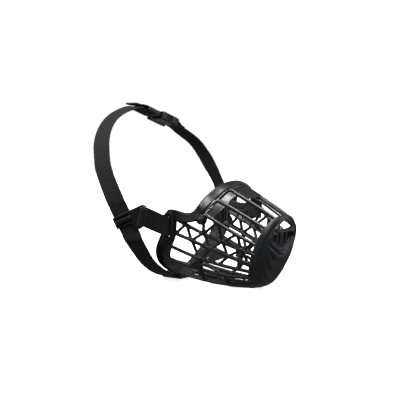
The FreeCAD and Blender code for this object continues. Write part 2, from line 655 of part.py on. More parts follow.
def bk(z, n=0.0, w=0.0):
    """Point in the buckle's own directions."""
    return BK_C + bk_t * z + bk_n * n + bk_w * w


near = [tup(slide_at(cut_at)) + (22.0,), tup(slide_at(8.0)) + (22.0,), tup(slide_at(16.0)) + (22.0,),
        tup(slide_at(24.0)) + (19.0,), (-31.5, -90.2, 107.5, 10.0), (-42.5, -86.5, 124.5, 4.0), (-51.0, -79.0, 140.0, 0.0),
        (-58.5, -70.0, 151.5, -3.0), (-64.6, -58.5, 161.5, -6.0), (-69.4, -44.5, 170.0, -7.0), (-72.8, -28.0, 176.2, -5.0),
        (-75.0, -8.0, 180.2, -2.0), tup(bk(-33.0, 1.9)) + (0.0,), tup(bk(-26.0, 2.5)) + (0.0,), tup(bk(-19.0, 2.6)) + (0.0,)]
npts, nacross = loop_ribbon(near, 3)
# round the inner ladder bar and back as the tail, outside the end bar
turn = [bk(-13.4, 2.6), bk(-12.0, 1.9), bk(-11.3, 0.7), bk(-11.3, -0.7), bk(-12.0, -1.9), bk(-13.4, -2.6),
        bk(-18.0, -2.7), bk(-24.0, -2.7), bk(-29.0, -2.0), bk(-34.0, -0.6), bk(-40.0, 0.1)]
npts += turn
nacross += [bk_w] * len(turn)
neck_right = ribbon(npts, nacross, S["webbing_width"], S["webbing_thick"])
node(feature("neck_strap_right", neck_right))

far = [tup(slide_at(cut_at)) + (22.0,), tup(slide_at(8.0)) + (22.0,), tup(slide_at(16.0)) + (22.0,),
       tup(slide_at(24.0)) + (19.0,), (-31.5, -90.2, 107.5, 12.0), (-41.5, -88.0, 123.5, 7.0), (-50.0, -81.5, 138.0, 3.0)]
far = [(x, -y, z, r) for x, y, z, r in far]
far += [tup(bk(37.0, 3.4)) + (0.0,), tup(bk(30.0, 2.1)) + (0.0,), tup(bk(24.0, 2.05)) + (0.0,)]


def loop_ribbon_far(ctrl, per):
    pts = spline([c[:3] for c in ctrl], per)
    rolls = [q.x for q in spline([(c[3], 0, 0) for c in ctrl], per)]
    across = []
    n = len(pts)
    for i in range(n):
        a, b = pts[max(0, i - 1)], pts[min(n - 1, i + 1)]
        across.append(loop_frame(a - b, rolls[i])[0])
    return pts, across


fpts, facross = loop_ribbon_far(far, 3)
hem = [bk(20.7, 2.1), bk(19.6, 1.6), bk(19.2, 0.5), bk(19.2, -0.5), bk(19.6, -1.6), bk(20.7, -2.1), bk(24.6, -2.05), bk(27.5, -0.9), bk(30.5, 0.35), bk(35.0, 1.25)]
fpts += hem
facross += [bk_w] * len(hem)
neck_left = ribbon(fpts, facross, S["webbing_width"], S["webbing_thick"])
node(feature("neck_strap_left", neck_left))

# cheek strap: a flat loop round the slot bar of the slide and the slot bars of rim and brow band
ss = SL_C
u_dir = sl_w * ca - sl_t * sa
b_dir = sl_w * sa + sl_t * ca


def sp(u, n, b=8.25):
    return SL_C + u_dir * u + sl_n * n + b_dir * b


sm = S["slot_mid_x"]
zc = S["slot_mid_z"]
start = V(13.2, -44.8, zc + 1.0)
loop_pts = [start, V(15.6, -44.8, zc + 0.6), V(17.2, -45.6, zc + 0.3), V(17.9, -47.2, zc), V(18.0, -50.0, zc), V(17.4, -52.4, zc + 0.4)]
loop_b = [V(0, 0, 1)] * 6
o0, o1 = V(17.4, -52.4, zc + 0.4), sp(21.4, 1.0)
for u in (0.25, 0.5, 0.75):
    loop_pts.append(lerp(o0, o1, u))
    loop_b.append(unit(lerp(V(0, 0, 1), b_dir, u)))
loop_pts += [o1, sp(21.2, -1.8), sp(20.3, -3.8), sp(18.6, -4.5), sp(16.3, -4.5), sp(14.9, -3.4), sp(14.6, -1.5), sp(14.6, 1.6), sp(15.0, 3.3),
             sp(16.4, 4.2), sp(18.6, 4.2)]
loop_b += [b_dir] * 11
i0, i1 = sp(18.6, 4.2), V(8.0, -53.5, zc + 3.6)
for u in (0.33, 0.66):
    loop_pts.append(lerp(i0, i1, u))
    loop_b.append(unit(lerp(b_dir, V(0, 0, 1), u)))
loop_pts += [i1, V(5.3, -50.2, zc + 2.6), V(4.8, -47.4, zc + 2.0), V(6.0, -45.1, zc + 1.6), V(9.0, -44.6, zc + 1.3), V(12.4, -44.8, zc + 1.05)]
loop_b += [V(0, 0, 1)] * 6
cheek_r = ribbon(loop_pts, loop_b, S["webbing_width"], S["cheek_thick"])
node(feature("cheek_strap_right", cheek_r))
node(feature("cheek_strap_left", mirror_y(cheek_r)))

# ------------------------------------------------------------------ buckle, female half (local z along the strap, y inwards)
bw, bt, bwall = S["buckle_width"], S["buckle_thick"], S["buckle_wall"]
female = new_body("buckle_female")
sk = sketch(female, "XZ_Plane", "female_outline")
add_polygon(sk, [(-bw / 2, -3.0), (bw / 2, -3.0), (bw / 2, 16.0), (bw / 2 - 1.6, 23.5), (-bw / 2 + 1.6, 23.5), (-bw / 2, 16.0)])
pad = female.newObject("PartDesign::Pad", "female_block")
pad.Profile = sk
pad.Midplane = True
pad.setExpression("Length", "Sizes.buckle_thick")
doc.recompute()
sk = sketch(female, "XY_Plane", "socket_mouth", -3.0)
add_rect(sk, -(bw / 2 - bwall), -(bt / 2 - bwall), "Sizes.buckle_width - 2 * Sizes.buckle_wall",
         "Sizes.buckle_thick - 2 * Sizes.buckle_wall", bw - 2 * bwall, bt - 2 * bwall)
poc = female.newObject("PartDesign::Pocket", "socket")
poc.Profile = sk
poc.Length = 18.0
poc.Reversed = True
doc.recompute()
v1 = female.Shape.Volume
sk = sketch(female, "YZ_Plane", "side_windows")
add_polygon(sk, [(-bt / 2 + 2.2, 2.2), (bt / 2 - 2.2, 2.2), (bt / 2 - 2.2, 11.6), (-bt / 2 + 2.2, 11.6)])
poc = female.newObject("PartDesign::Pocket", "prong_windows")
poc.Profile = sk
poc.Type = 1
poc.Midplane = True
doc.recompute()
v2 = female.Shape.Volume
# strap end: slot behind the fixed bar, and thinned so that the strap wraps it
sk = sketch(female, "XZ_Plane", "strap_slot")
add_rect(sk, -(S["webbing_width"] / 2 + 0.7), 17.3, "Sizes.webbing_width + 1.4", "3.4", S["webbing_width"] + 1.4, 3.4)
poc = female.newObject("PartDesign::Pocket", "strap_slot_cut")
poc.Profile = sk
poc.Type = 1
poc.Midplane = True
doc.recompute()
sk = sketch(female, "YZ_Plane", "bar_relief")
add_polygon(sk, [(1.15, 20.0), (6.0, 20.0), (6.0, 26.0), (1.15, 26.0)])
add_polygon(sk, [(-6.0, 20.0), (-1.15, 20.0), (-1.15, 26.0), (-6.0, 26.0)])
poc = female.newObject("PartDesign::Pocket", "bar_relief_cut")
poc.Profile = sk
poc.Midplane = True
poc.setExpression("Length", "Sizes.webbing_width + 1.4")
doc.recompute()
print("female volumes", v1, v2, female.Shape.Volume, female.Shape.isValid())
female.Placement = frame_placement(BK_C, bk_w, bk_n, bk_t)
node(female)

# ------------------------------------------------------------------ buckle, male half
male = new_body("buckle_male")
sk = sketch(male, "XZ_Plane", "male_outline")
add_polygon(sk, [(-bw / 2, -23.5), (bw / 2, -23.5), (bw / 2, -8.4), (bw / 2 - 1.2, -4.6), (bw / 2 - 5.6, -4.6),
                 (bw / 2 - 5.6, -3.4), (-bw / 2 + 5.6, -3.4), (-bw / 2 + 5.6, -4.6), (-bw / 2 + 1.2, -4.6), (-bw / 2, -8.4)])
pad = male.newObject("PartDesign::Pad", "male_plate")
pad.Profile = sk
pad.Midplane = True
pad.Length = 5.0
doc.recompute()
sk = sketch(male, "XZ_Plane", "guide_outline")
add_polygon(sk, [(-2.6, -4.6), (2.6, -4.6), (2.6, 11.5), (1.4, 13.0), (-1.4, 13.0), (-2.6, 11.5)])
pad = male.newObject("PartDesign::Pad", "centre_guide")
pad.Profile = sk
pad.Midplane = True
pad.Length = 3.6
doc.recompute()
m1 = male.Shape.Volume
sk = sketch(male, "XZ_Plane", "ladder_slots")
sw = S["webbing_width"] / 2 + 0.7
add_rect(sk, -sw, -20.5, "Sizes.webbing_width + 1.4", "Sizes.lock_slot", 2 * sw, S["lock_slot"])
add_rect(sk, -sw, -13.3, "Sizes.webbing_width + 1.4", "Sizes.lock_slot - 0.6", 2 * sw, S["lock_slot"] - 0.6)
poc = male.newObject("PartDesign::Pocket", "ladder_cut")
poc.Profile = sk
poc.Type = 1
poc.Midplane = True
doc.recompute()
sk = sketch(male, "YZ_Plane", "ladder_relief")
add_polygon(sk, [(1.55, -25.0), (4.0, -25.0), (4.0, -11.0), (1.55, -11.0)])
add_polygon(sk, [(-4.0, -25.0), (-1.55, -25.0), (-1.55, -11.0), (-4.0, -11.0)])
poc = male.newObject("PartDesign::Pocket", "ladder_relief_cut")
poc.Profile = sk
poc.Midplane = True
poc.setExpression("Length", "Sizes.webbing_width + 1.4")
doc.recompute()
print("male volumes", m1, male.Shape.Volume, male.Shape.isValid())
male.Placement = frame_placement(BK_C, bk_w, bk_n, bk_t)
node(male)


# ------------------------------------------------------------------ prongs (spring arms, one each side of the guide)
def prong(name, s):
    b = new_body(name)
    sk = sketch(b, "XZ_Plane", name + "_outline")
    root = bw / 2 - 5.2
    tip = bw / 2 - bwall - 0.45
    pts = [(root - 3.2, -3.0), (root, -3.0), (root + 0.2, 1.0), (tip - 0.9, 3.2), (tip + bwall - 0.2, 3.4), (tip + bwall + 0.35, 7.4),
           (tip + bwall - 0.6, 10.9), (tip - 0.9, 12.0), (tip - 3.4, 14.2), (tip - 4.6, 13.4), (tip - 4.2, 10.0), (root - 3.2, 2.0)]
    pts = [(s * x, z) for x, z in pts]
    add_polygon(sk, pts)
    pad = b.newObject("PartDesign::Pad", name + "_arm")
    pad.Profile = sk
    pad.Midplane = True
    pad.setExpression("Length", "Sizes.prong_thick")
    doc.recompute()
    b.Placement = frame_placement(BK_C, bk_w, bk_n, bk_t)
    return b


node(prong("prong_front", 1))
node(prong("prong_rear", -1))
doc.recompute()

# ------------------------------------------------------------------ check, shift to the frame's origin and write
bad = [o.Name for o in doc.Objects if ("Invalid" in o.State or "Error" in o.State)]
if bad:
    raise RuntimeError("failed objects: %s" % bad)
shift = V(S["origin_x"], 0, S["origin_z"])
os.makedirs("parts", exist_ok=True)
box = FreeCAD.BoundBox()
wrong = [o.Label for o in NODES if o.Shape.isNull() or not o.Shape.isValid() or not o.Shape.Solids]
if wrong:
    raise RuntimeError("bad shapes: %s" % wrong)
for o in NODES:
    box.add(o.Shape.BoundBox)
print("own box", [round(q, 2) for q in (box.XMin, box.XMax, box.YMin, box.YMax, box.ZMin, box.ZMax)],
      "shift should be", round(-(box.XMin + box.XMax) / 2, 2), round(-(box.YMin + box.YMax) / 2, 2), round(-box.ZMin, 2))
for o in NODES:
    sh = o.Shape.copy()
    sh.translate(shift)
    out = doc.addObject("Part::Feature", "out_" + o.Name)
    out.Shape = sh
    out.Shape.exportStep(os.path.join("parts", o.Label + ".step"))
    print("%-20s solids %d volume %8.1f" % (o.Label, len(sh.Solids), sh.Volume))
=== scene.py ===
import bpy
import math
import numpy as np
from mathutils import Vector, Matrix


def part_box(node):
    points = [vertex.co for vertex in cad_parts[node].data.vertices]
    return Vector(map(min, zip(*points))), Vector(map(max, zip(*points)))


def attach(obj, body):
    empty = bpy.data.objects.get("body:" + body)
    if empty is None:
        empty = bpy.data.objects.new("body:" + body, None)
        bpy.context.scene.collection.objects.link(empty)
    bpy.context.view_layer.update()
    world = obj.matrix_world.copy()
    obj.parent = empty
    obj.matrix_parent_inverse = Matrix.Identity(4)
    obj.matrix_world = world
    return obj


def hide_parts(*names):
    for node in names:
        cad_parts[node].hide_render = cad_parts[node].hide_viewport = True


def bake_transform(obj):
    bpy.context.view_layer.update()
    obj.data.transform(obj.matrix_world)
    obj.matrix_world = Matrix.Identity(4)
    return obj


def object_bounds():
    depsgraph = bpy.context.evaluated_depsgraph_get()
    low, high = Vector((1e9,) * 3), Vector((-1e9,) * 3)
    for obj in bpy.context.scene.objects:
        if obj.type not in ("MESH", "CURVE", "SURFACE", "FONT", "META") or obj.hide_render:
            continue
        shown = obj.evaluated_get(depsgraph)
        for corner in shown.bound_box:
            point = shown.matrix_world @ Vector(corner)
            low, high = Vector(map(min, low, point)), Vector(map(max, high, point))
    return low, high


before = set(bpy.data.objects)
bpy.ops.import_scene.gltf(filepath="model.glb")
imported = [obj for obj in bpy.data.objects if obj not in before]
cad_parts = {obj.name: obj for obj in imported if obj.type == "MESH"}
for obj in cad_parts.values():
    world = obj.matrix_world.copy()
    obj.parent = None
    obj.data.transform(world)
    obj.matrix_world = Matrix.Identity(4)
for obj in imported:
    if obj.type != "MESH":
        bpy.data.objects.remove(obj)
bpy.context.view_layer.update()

# ------------------------------------------------------------------ working frame
# Everything below is written in millimetres in the design's own frame (origin under the chin at the rear rim);
# the chin keeper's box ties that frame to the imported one.
lo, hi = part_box("chin_keeper")
DX = (lo[0] + hi[0]) * 500.0 + 11.6
DY = (lo[1] + hi[1]) * 500.0
DZ = lo[2] * 1000.0 + 3.2
SHIFT = np.array([DX, DY, DZ])
rng = np.random.default_rng(7)


def vec(*a):
    return np.array(a, dtype=float)


def unit(a):
    a = np.asarray(a, float)
    return a / np.linalg.norm(a)


def wpos(p):
    p = (np.asarray(p, float) + SHIFT) / 1000.0
    return (float(p[0]), float(p[1]), float(p[2]))


def spline(points, per):
    pts = [np.array(p, float) for p in points]
    out = []
    n = len(pts)
    for i in range(n - 1):
        p0 = pts[i - 1] if i > 0 else pts[0] * 2 - pts[1]
        p1, p2 = pts[i], pts[i + 1]
        p3 = pts[i + 2] if i + 2 < n else pts[-1] * 2 - pts[-2]
        for k in range(per):
            u = k / float(per)
            u2, u3 = u * u, u * u * u
            out.append((p1 * 2 + (p2 - p0) * u + (p0 * 2 - p1 * 5 + p2 * 4 - p3) * u2
                        + (p1 * 3 - p0 - p2 * 3 + p3) * u3) * 0.5)
    out.append(pts[-1])
    return np.array(out)


def even(points, step):
    """Resample a polyline at even spacing; extra columns are carried along."""
    p = np.asarray(points, float)
    seg = np.linalg.norm(np.diff(p[:, :3], axis=0), axis=1)
    s = np.concatenate([[0], np.cumsum(seg)])
    n = max(2, int(round(s[-1] / step)) + 1)
    q = np.linspace(0, s[-1], n)
    return np.stack([np.interp(q, s, p[:, c]) for c in range(p.shape[1])], axis=1), q


def soften(p, times, keep_ends=True):
    p = np.array(p, float)
    for _ in range(times):
        q = p.copy()
        q[1:-1] = p[1:-1] * 0.5 + (p[:-2] + p[2:]) * 0.25
        p = q
    return p


# ------------------------------------------------------------------ meshes
def new_mesh(name, verts, faces, smooth=True):
    me = bpy.data.meshes.new(name)
    v = (np.asarray(verts, float) + SHIFT) / 1000.0
    me.from_pydata(v.tolist(), [], faces if isinstance(faces, list) else faces.tolist())
    me.update()
    if smooth:
        me.polygons.foreach_set("use_smooth", [True] * len(me.polygons))
    ob = bpy.data.objects.new(name, me)
    bpy.context.scene.collection.objects.link(ob)
    return ob


def smin(a, b, k):
    if k <= 0:
        return np.minimum(a, b)
    t = np.clip(0.5 + 0.5 * (a - b) / k, 0, 1)
    return a * (1 - t) + b * t - k * t * (1 - t)


def smax(a, b, k):
    return -smin(-a, -b, k)


class Field:
    """A signed distance field on a grid, built up from rounded solids, then meshed."""

    def __init__(self, low, high, h):
        self.lo = np.array(low, float)
        self.h = h
        self.n = np.ceil((np.array(high, float) - self.lo) / h).astype(int) + 1
        self.D = np.full(tuple(self.n), 6.0, np.float32)

    def window(self, low, high, pad=3.0):
        a = np.clip(np.floor((np.array(low) - pad - self.lo) / self.h).astype(int), 0, self.n - 1)
        b = np.clip(np.ceil((np.array(high) + pad - self.lo) / self.h).astype(int) + 1, 1, self.n)
        sl = tuple(slice(i, j) for i, j in zip(a, b))
        g = [(self.lo[c] + np.arange(a[c], b[c]) * self.h).astype(np.float32) for c in range(3)]
        return sl, g[0][:, None, None], g[1][None, :, None], g[2][None, None, :]

    def join(self, sl, d, k):
        self.D[sl] = smin(self.D[sl], d, k)

    def carve(self, sl, d, k):
        self.D[sl] = smax(self.D[sl], -d, k)

    def capsule(self, a, b, ra, rb=None, k=0.8, carve=False):
        a, b = np.asarray(a, float), np.asarray(b, float)
        rb = ra if rb is None else rb
        sl, X, Y, Z = self.window(np.minimum(a, b) - max(ra, rb), np.maximum(a, b) + max(ra, rb))
        ab = b - a
        L2 = float(ab @ ab) + 1e-9
        t = np.clip(((X - a[0]) * ab[0] + (Y - a[1]) * ab[1] + (Z - a[2]) * ab[2]) / L2, 0, 1)
        d = np.sqrt((X - a[0] - t * ab[0]) ** 2 + (Y - a[1] - t * ab[1]) ** 2 + (Z - a[2] - t * ab[2]) ** 2) - (ra + (rb - ra) * t)
        (self.carve if carve else self.join)(sl, d, k)

    def local(self, c, R, half, pad=3.0):
        """Window round an oriented box and its coordinates in the box's axes (rows of R)."""
        c = np.asarray(c, float)
        R = np.asarray(R, float)
        ext = np.abs(R.T) @ np.asarray(half, float)
        sl, X, Y, Z = self.window(c - ext, c + ext, pad)
        q = [R[i, 0] * (X - c[0]) + R[i, 1] * (Y - c[1]) + R[i, 2] * (Z - c[2]) for i in range(3)]
        return sl, q

    def box(self, c, R, half, r=0.5, k=0.6, carve=False):
        sl, q = self.local(c, R, half)
        e = [np.abs(q[i]) - (half[i] - r) for i in range(3)]
        out = np.sqrt(sum(np.maximum(v, 0) ** 2 for v in e)) + np.minimum(np.maximum(e[0], np.maximum(e[1], e[2])), 0) - r
        (self.carve if carve else self.join)(sl, out, k)

    def disc(self, c, axis, radius, half, r=0.4, k=0.5, carve=False, hollow=None):
        axis = unit(axis)
        u = unit(np.cross(axis, [0.3, 0.2, 0.9]))
        v = np.cross(axis, u)
        sl, q = self.local(c, np.array([u, v, axis]), (radius, radius, half))
        rad = np.sqrt(q[0] ** 2 + q[1] ** 2)
        e0 = rad - (radius - r) if hollow is None else np.abs(rad - (radius + hollow) / 2) - ((radius - hollow) / 2 - r)
        e1 = np.abs(q[2]) - (half - r)
        d = np.sqrt(np.maximum(e0, 0) ** 2 + np.maximum(e1, 0) ** 2) + np.minimum(np.maximum(e0, e1), 0) - r
        (self.carve if carve else self.join)(sl, d, k)

    def prism(self, poly, c, R, w0, w1, r=0.4, k=0.5, carve=False):
        """Polygon in the first two axes of R, from w0 to w1 along the third."""
        poly = np.asarray(poly, float)
        lo2, hi2 = poly.min(0), poly.max(0)
        mid = (lo2 + hi2) / 2
        R = np.asarray(R, float)
        cc = np.asarray(c, float) + R[0] * mid[0] + R[1] * mid[1] + R[2] * (w0 + w1) / 2
        sl, q = self.local(cc, R, ((hi2[0] - lo2[0]) / 2, (hi2[1] - lo2[1]) / 2, (w1 - w0) / 2))
        d2 = poly_sdf(q[0] + mid[0], q[1] + mid[1], poly) + r
        e1 = np.abs(q[2]) - ((w1 - w0) / 2 - r)
        d = np.sqrt(np.maximum(d2, 0) ** 2 + np.maximum(e1, 0) ** 2) + np.minimum(np.maximum(d2, e1), 0) - r
        (self.carve if carve else self.join)(sl, d, k)

    def mesh(self, smooth=2):
        D = self.D
        n = D.shape
        inside = D < 0
        cnt = np.zeros((n[0] - 1, n[1] - 1, n[2] - 1), np.uint8)
        corners = [(i, j, k) for i in (0, 1) for j in (0, 1) for k in (0, 1)]
        for i, j, k in corners:
            cnt += inside[i:n[0] - 1 + i, j:n[1] - 1 + j, k:n[2] - 1 + k]
        ci, cj, ck = np.nonzero((cnt > 0) & (cnt < 8))
        vals = np.stack([D[ci + i, cj + j, ck + k] for i, j, k in corners], 1).astype(np.float64)
        acc = np.zeros((len(ci), 3))
        num = np.zeros(len(ci))
        for a in range(8):
            for b in range(a + 1, 8):
                diff = np.array(corners[b]) - np.array(corners[a])
                if np.abs(diff).sum() != 1:
                    continue
                m = (vals[:, a] < 0) != (vals[:, b] < 0)
                t = vals[m, a] / (vals[m, a] - vals[m, b])
                acc[m] += np.array(corners[a]) + t[:, None] * diff
                num[m] += 1
        pos = np.stack([ci, cj, ck], 1) + acc / num[:, None]
        V = self.lo + pos * self.h
        idx = np.full(cnt.shape, -1, np.int32)
        idx[ci, cj, ck] = np.arange(len(ci))
        quads = []
        for ax in range(3):
            b, c = (ax + 1) % 3, (ax + 2) % 3
            s0 = [slice(None)] * 3
            s1 = [slice(None)] * 3
            s0[ax], s1[ax] = slice(0, n[ax] - 1), slice(1, n[ax])
            A, B = inside[tuple(s0)], inside[tuple(s1)]
            e = np.nonzero(A != B)
            ok = (e[b] > 0) & (e[b] < n[b] - 1) & (e[c] > 0) & (e[c] < n[c] - 1)
            e = [q[ok] for q in e]
            flip = ~A[e[0], e[1], e[2]]

            def cell(db, dc):
                g = [q.copy() for q in e]
                g[b] = g[b] + db
                g[c] = g[c] + dc
                return idx[g[0], g[1], g[2]]
            q = np.stack([cell(-1, -1), cell(0, -1), cell(0, 0), cell(-1, 0)], 1)
            q[flip] = q[flip][:, ::-1]
            quads.append(q)
        F = np.concatenate(quads)
        F = F[(F >= 0).all(1)]
        for _ in range(smooth):
            V = laplace(V, F, 0.5)
            V = laplace(V, F, -0.52)
        return V, F


def laplace(V, F, f):
    acc = np.zeros_like(V)
    num = np.zeros(len(V))
    for a, b in ((0, 1), (1, 2), (2, 3), (3, 0)):
        for p, q in ((a, b), (b, a)):
            for c in range(3):
                acc[:, c] += np.bincount(F[:, p], weights=V[F[:, q], c], minlength=len(V))
            num += np.bincount(F[:, p], minlength=len(V))
    return V + (acc / np.maximum(num, 1)[:, None] - V) * f


def poly_sdf(x, y, poly):
    d = None
    s = None
    n = len(poly)
    for i in range(n):
        a, b = poly[i], poly[(i + 1) % n]
        e = b - a
        wx, wy = x - a[0], y - a[1]
        t = np.clip((wx * e[0] + wy * e[1]) / (e @ e), 0, 1)
        dd = (wx - e[0] * t) ** 2 + (wy - e[1] * t) ** 2
        c1, c2 = y >= a[1], y < b[1]
        c3 = e[0] * wy > e[1] * wx
        flip = (c1 & c2 & c3) | (~c1 & ~c2 & ~c3)
        d = dd if d is None else np.minimum(d, dd)
        s = flip if s is None else (s ^ flip)
    d = np.sqrt(d)
    return np.where(s, -d, d)


def rounded(poly, r, seg=5):
    """Round the corners of a polygon (list of (x, y) or (x, y, radius))."""
    out = []
    n = len(poly)
    for i in range(n):
        p = np.array(poly[i][:2], float)
        rr = poly[i][2] if len(poly[i]) > 2 else r
        a, b = np.array(poly[i - 1][:2], float), np.array(poly[(i + 1) % n][:2], float)
        u, v = unit(a - p), unit(b - p)
        ang = math.acos(max(-1, min(1, float(u @ v))))
        if ang > math.pi - 0.05 or rr <= 0:
            out.append(p)
            continue
        cut = min(rr / math.tan(ang / 2), 0.45 * np.linalg.norm(a - p), 0.45 * np.linalg.norm(b - p))
        for k in range(seg + 1):
            t = k / seg
            out.append((1 - t) ** 2 * (p + u * cut) + 2 * t * (1 - t) * p + t * t * (p + v * cut))
    return np.array(out)


# ------------------------------------------------------------------ shared layout (as designed)
HW = 47.0
STUD = vec(62.0, 0, 73.5)
SLOT_X, SLOT_Z, SLOT_W, SLOT_L = 17.6, 61.8, 4.6, 22.5


def cap_x(z):
    return 103.4 + 0.42 * z


def cap_point(y, z, ahead=-0.6):
    return vec(cap_x(z) + ahead, y, z)


# centre lines of the near-side bars, rear to front
BARS = {
    "A": [(76.2, -14.0, 102.2), (98.2, -13.2, 92.6), (119.3, -12.4, 83.2), cap_point(-11.9, 75.4)],
    "2": [(71.0, -31.0, 92.7), (90.1, -29.4, 85.1), (112.5, -26.8, 74.8), cap_point(-24.5, 66.6)],
    "3": [(67.0, -46.3, 78.0), (70.9, -46.0, 76.2), (83.4, -43.3, 69.5), (95.3, -39.8, 63.0), (107.9, -35.6, 56.0), cap_point(-30.6, 48.6)],
    "S1": [(29.1, -46.5, 69.4), (39.1, -45.6, 65.6), (59.8, -42.8, 57.7), (72.0, -40.7, 53.4), (82.1, -38.9, 50.2), (104.1, -34.7, 42.9), cap_point(-32.0, 39.2)],
    "S2": [(21.6, -46.6, 55.8), (25.7, -46.3, 54.6), (44.1, -44.0, 49.2), (67.4, -40.2, 41.5), (87.5, -36.4, 35.2), (108.3, -32.1, 29.5), cap_point(-31.0, 28.4)],
    "S3": [(13.1, -45.3, 41.6), (17.1, -45.1, 40.2), (32.4, -43.2, 35.3), (47.3, -41.0, 31.0), (60.7, -38.6, 28.0), (75.1, -35.8, 24.9), (87.9, -33.1, 22.6), cap_point(-28.2, 19.6)],
    "S4": [(8.2, -41.5, 26.8), (12.7, -41.1, 25.5), (22.8, -39.8, 22.7), (35.2, -37.9, 19.7), (49.3, -35.6, 17.4), (57.2, -34.2, 16.0), (67.5, -32.2, 14.0),
           (84.5, -28.8, 12.6), (94.0, -26.9, 12.2), cap_point(-23.8, 11.9)],
}
BAR_LINE = {k: even(spline([tuple(p) for p in v], 8), 1.5)[0] for k, v in BARS.items()}


def bar_at(key, x, sink=0.0):
    """Point on a bar's centre line at that X."""
    line = BAR_LINE[key]
    return vec(x, np.interp(x, line[:, 0], line[:, 1]) + sink, np.interp(x, line[:, 0], line[:, 2]))


def my(p):
    return np.asarray(p, float) * vec(1, -1, 1)


def basis(t, roll):
    t = unit(t)
    w0 = unit(vec(1, 0, 0) - t * t[0])
    n0 = np.cross(t, w0)
    c, s = math.cos(math.radians(roll)), math.sin(math.radians(roll))
    w = w0 * c + n0 * s
    return w, np.cross(t, w), t


SL_C = vec(-11.8, -86.0, 71.4)
sl_w, sl_n, sl_t = basis(vec(-0.39, -0.19, 0.90), 22.0)
BK_C = vec(-70.0, 39.5, 169.2)
bk_w, bk_n, bk_t = basis(vec(0.2, 0.887, -0.41), 0.0)
ca, sa = math.cos(math.radians(40.0)), math.sin(math.radians(40.0))
u_dir = sl_w * ca - sl_t * sa
b_dir = sl_w * sa + sl_t * ca

# ------------------------------------------------------------------ basket moulding
rim_rear = [(11.2, -HW, 76.0), (9.8, -HW, 68.0), (8.6, -HW, 60.0), (6.2, -HW, 51.0), (0.8, -46.3, 40.8),
            (-2.6, -44.3, 32.6), (-4.4, -40.0, 24.0), (-4.4, -33.0, 16.0), (-2.9, -20.0, 7.8),
            (-0.6, -9.0, 3.4), (-0.2, 0.0, 2.6)]
rim_front = [(27.0, -HW, 74.0), (27.0, -HW, 67.0), (26.4, -HW, 60.0), (24.3, -HW, 51.6), (18.6, -46.3, 39.8),
             (14.3, -43.5, 32.0), (11.2, -38.6, 24.2), (9.6, -30.5, 16.2), (9.6, -18.0, 8.2),
             (10.0, -8.0, 3.6), (10.2, 0.0, 2.6)]


def strip(field, rear, front, half_t, r, k, over=0.62, sides=(1, -1)):
    """Band between two edge lines as a chain of rounded plates."""
    n = len(rear)
    for i in range(n - 1):
        a, b = (rear[i] + front[i]) / 2, (rear[i + 1] + front[i + 1]) / 2
        c = (a + b) / 2
        w = unit((front[i] - rear[i]) + (front[i + 1] - rear[i + 1]))
        t = b - a
        t = unit(t - w * (t @ w))
        nn = np.cross(w, t)
        half_w = (np.linalg.norm(front[i] - rear[i]) + np.linalg.norm(front[i + 1] - rear[i + 1])) / 4
        L = np.linalg.norm(b - a)
        for s in sides:
            m = vec(1, s, 1)
            field.box(c * m, np.array([w * m, t * m, nn * m]), (half_w, L * over + r, half_t), r, k)


H = 0.55
bf = Field((-26.5, -52, -5.5), (136, 52, 108.5), H)
PB = 5
rr, rf = spline(rim_rear, PB), spline(rim_front, PB)
strip(bf, rr, rf, 1.15, 0.75, 0.35)
# beads along both edges of the rim stiffen it
for line, r in ((rr[PB * 3:], 1.45), (rf[PB * 3:], 1.35)):
    line, _ = even(line, 3.0)
    for i in range(len(line) - 1):
        for s in (1, -1):
            m = vec(1, s, 1)
            bf.capsule(line[i] * m, line[i + 1] * m, r, k=0.08)
# raised bar along the front side of each cheek slot, and the slot itself
for s in (-1, 1):
    for x in (SLOT_X + SLOT_W / 2 + 1.3,):
        bf.box(vec(x + 0.2, s * 46.9, SLOT_Z), np.eye(3), (1.0, 1.9, SLOT_L / 2 + 1.5), 0.6, 0.5)
    bf.box(vec(SLOT_X, s * HW, SLOT_Z), np.eye(3), (SLOT_W / 2, 5, SLOT_L / 2), 0.5, 0.35, carve=True)

# bars: deeper inwards than they are tall
def deep_rod(line, r, deep, k, shrink=0.9):
    for i in range(len(line) - 1):
        for s in (1, -1):
            m = vec(1, s, 1)
            bf.capsule(line[i] * m, line[i + 1] * m, r, k=0.05)
            if deep:
                inn = [p + vec(0, deep * (1 if abs(p[1]) > 20 else 0.5), -deep * (0.35 if p[2] < 60 else 0.7)) for p in (line[i], line[i + 1])]
                bf.capsule(inn[0] * m, inn[1] * m, r * shrink, k=0.05)


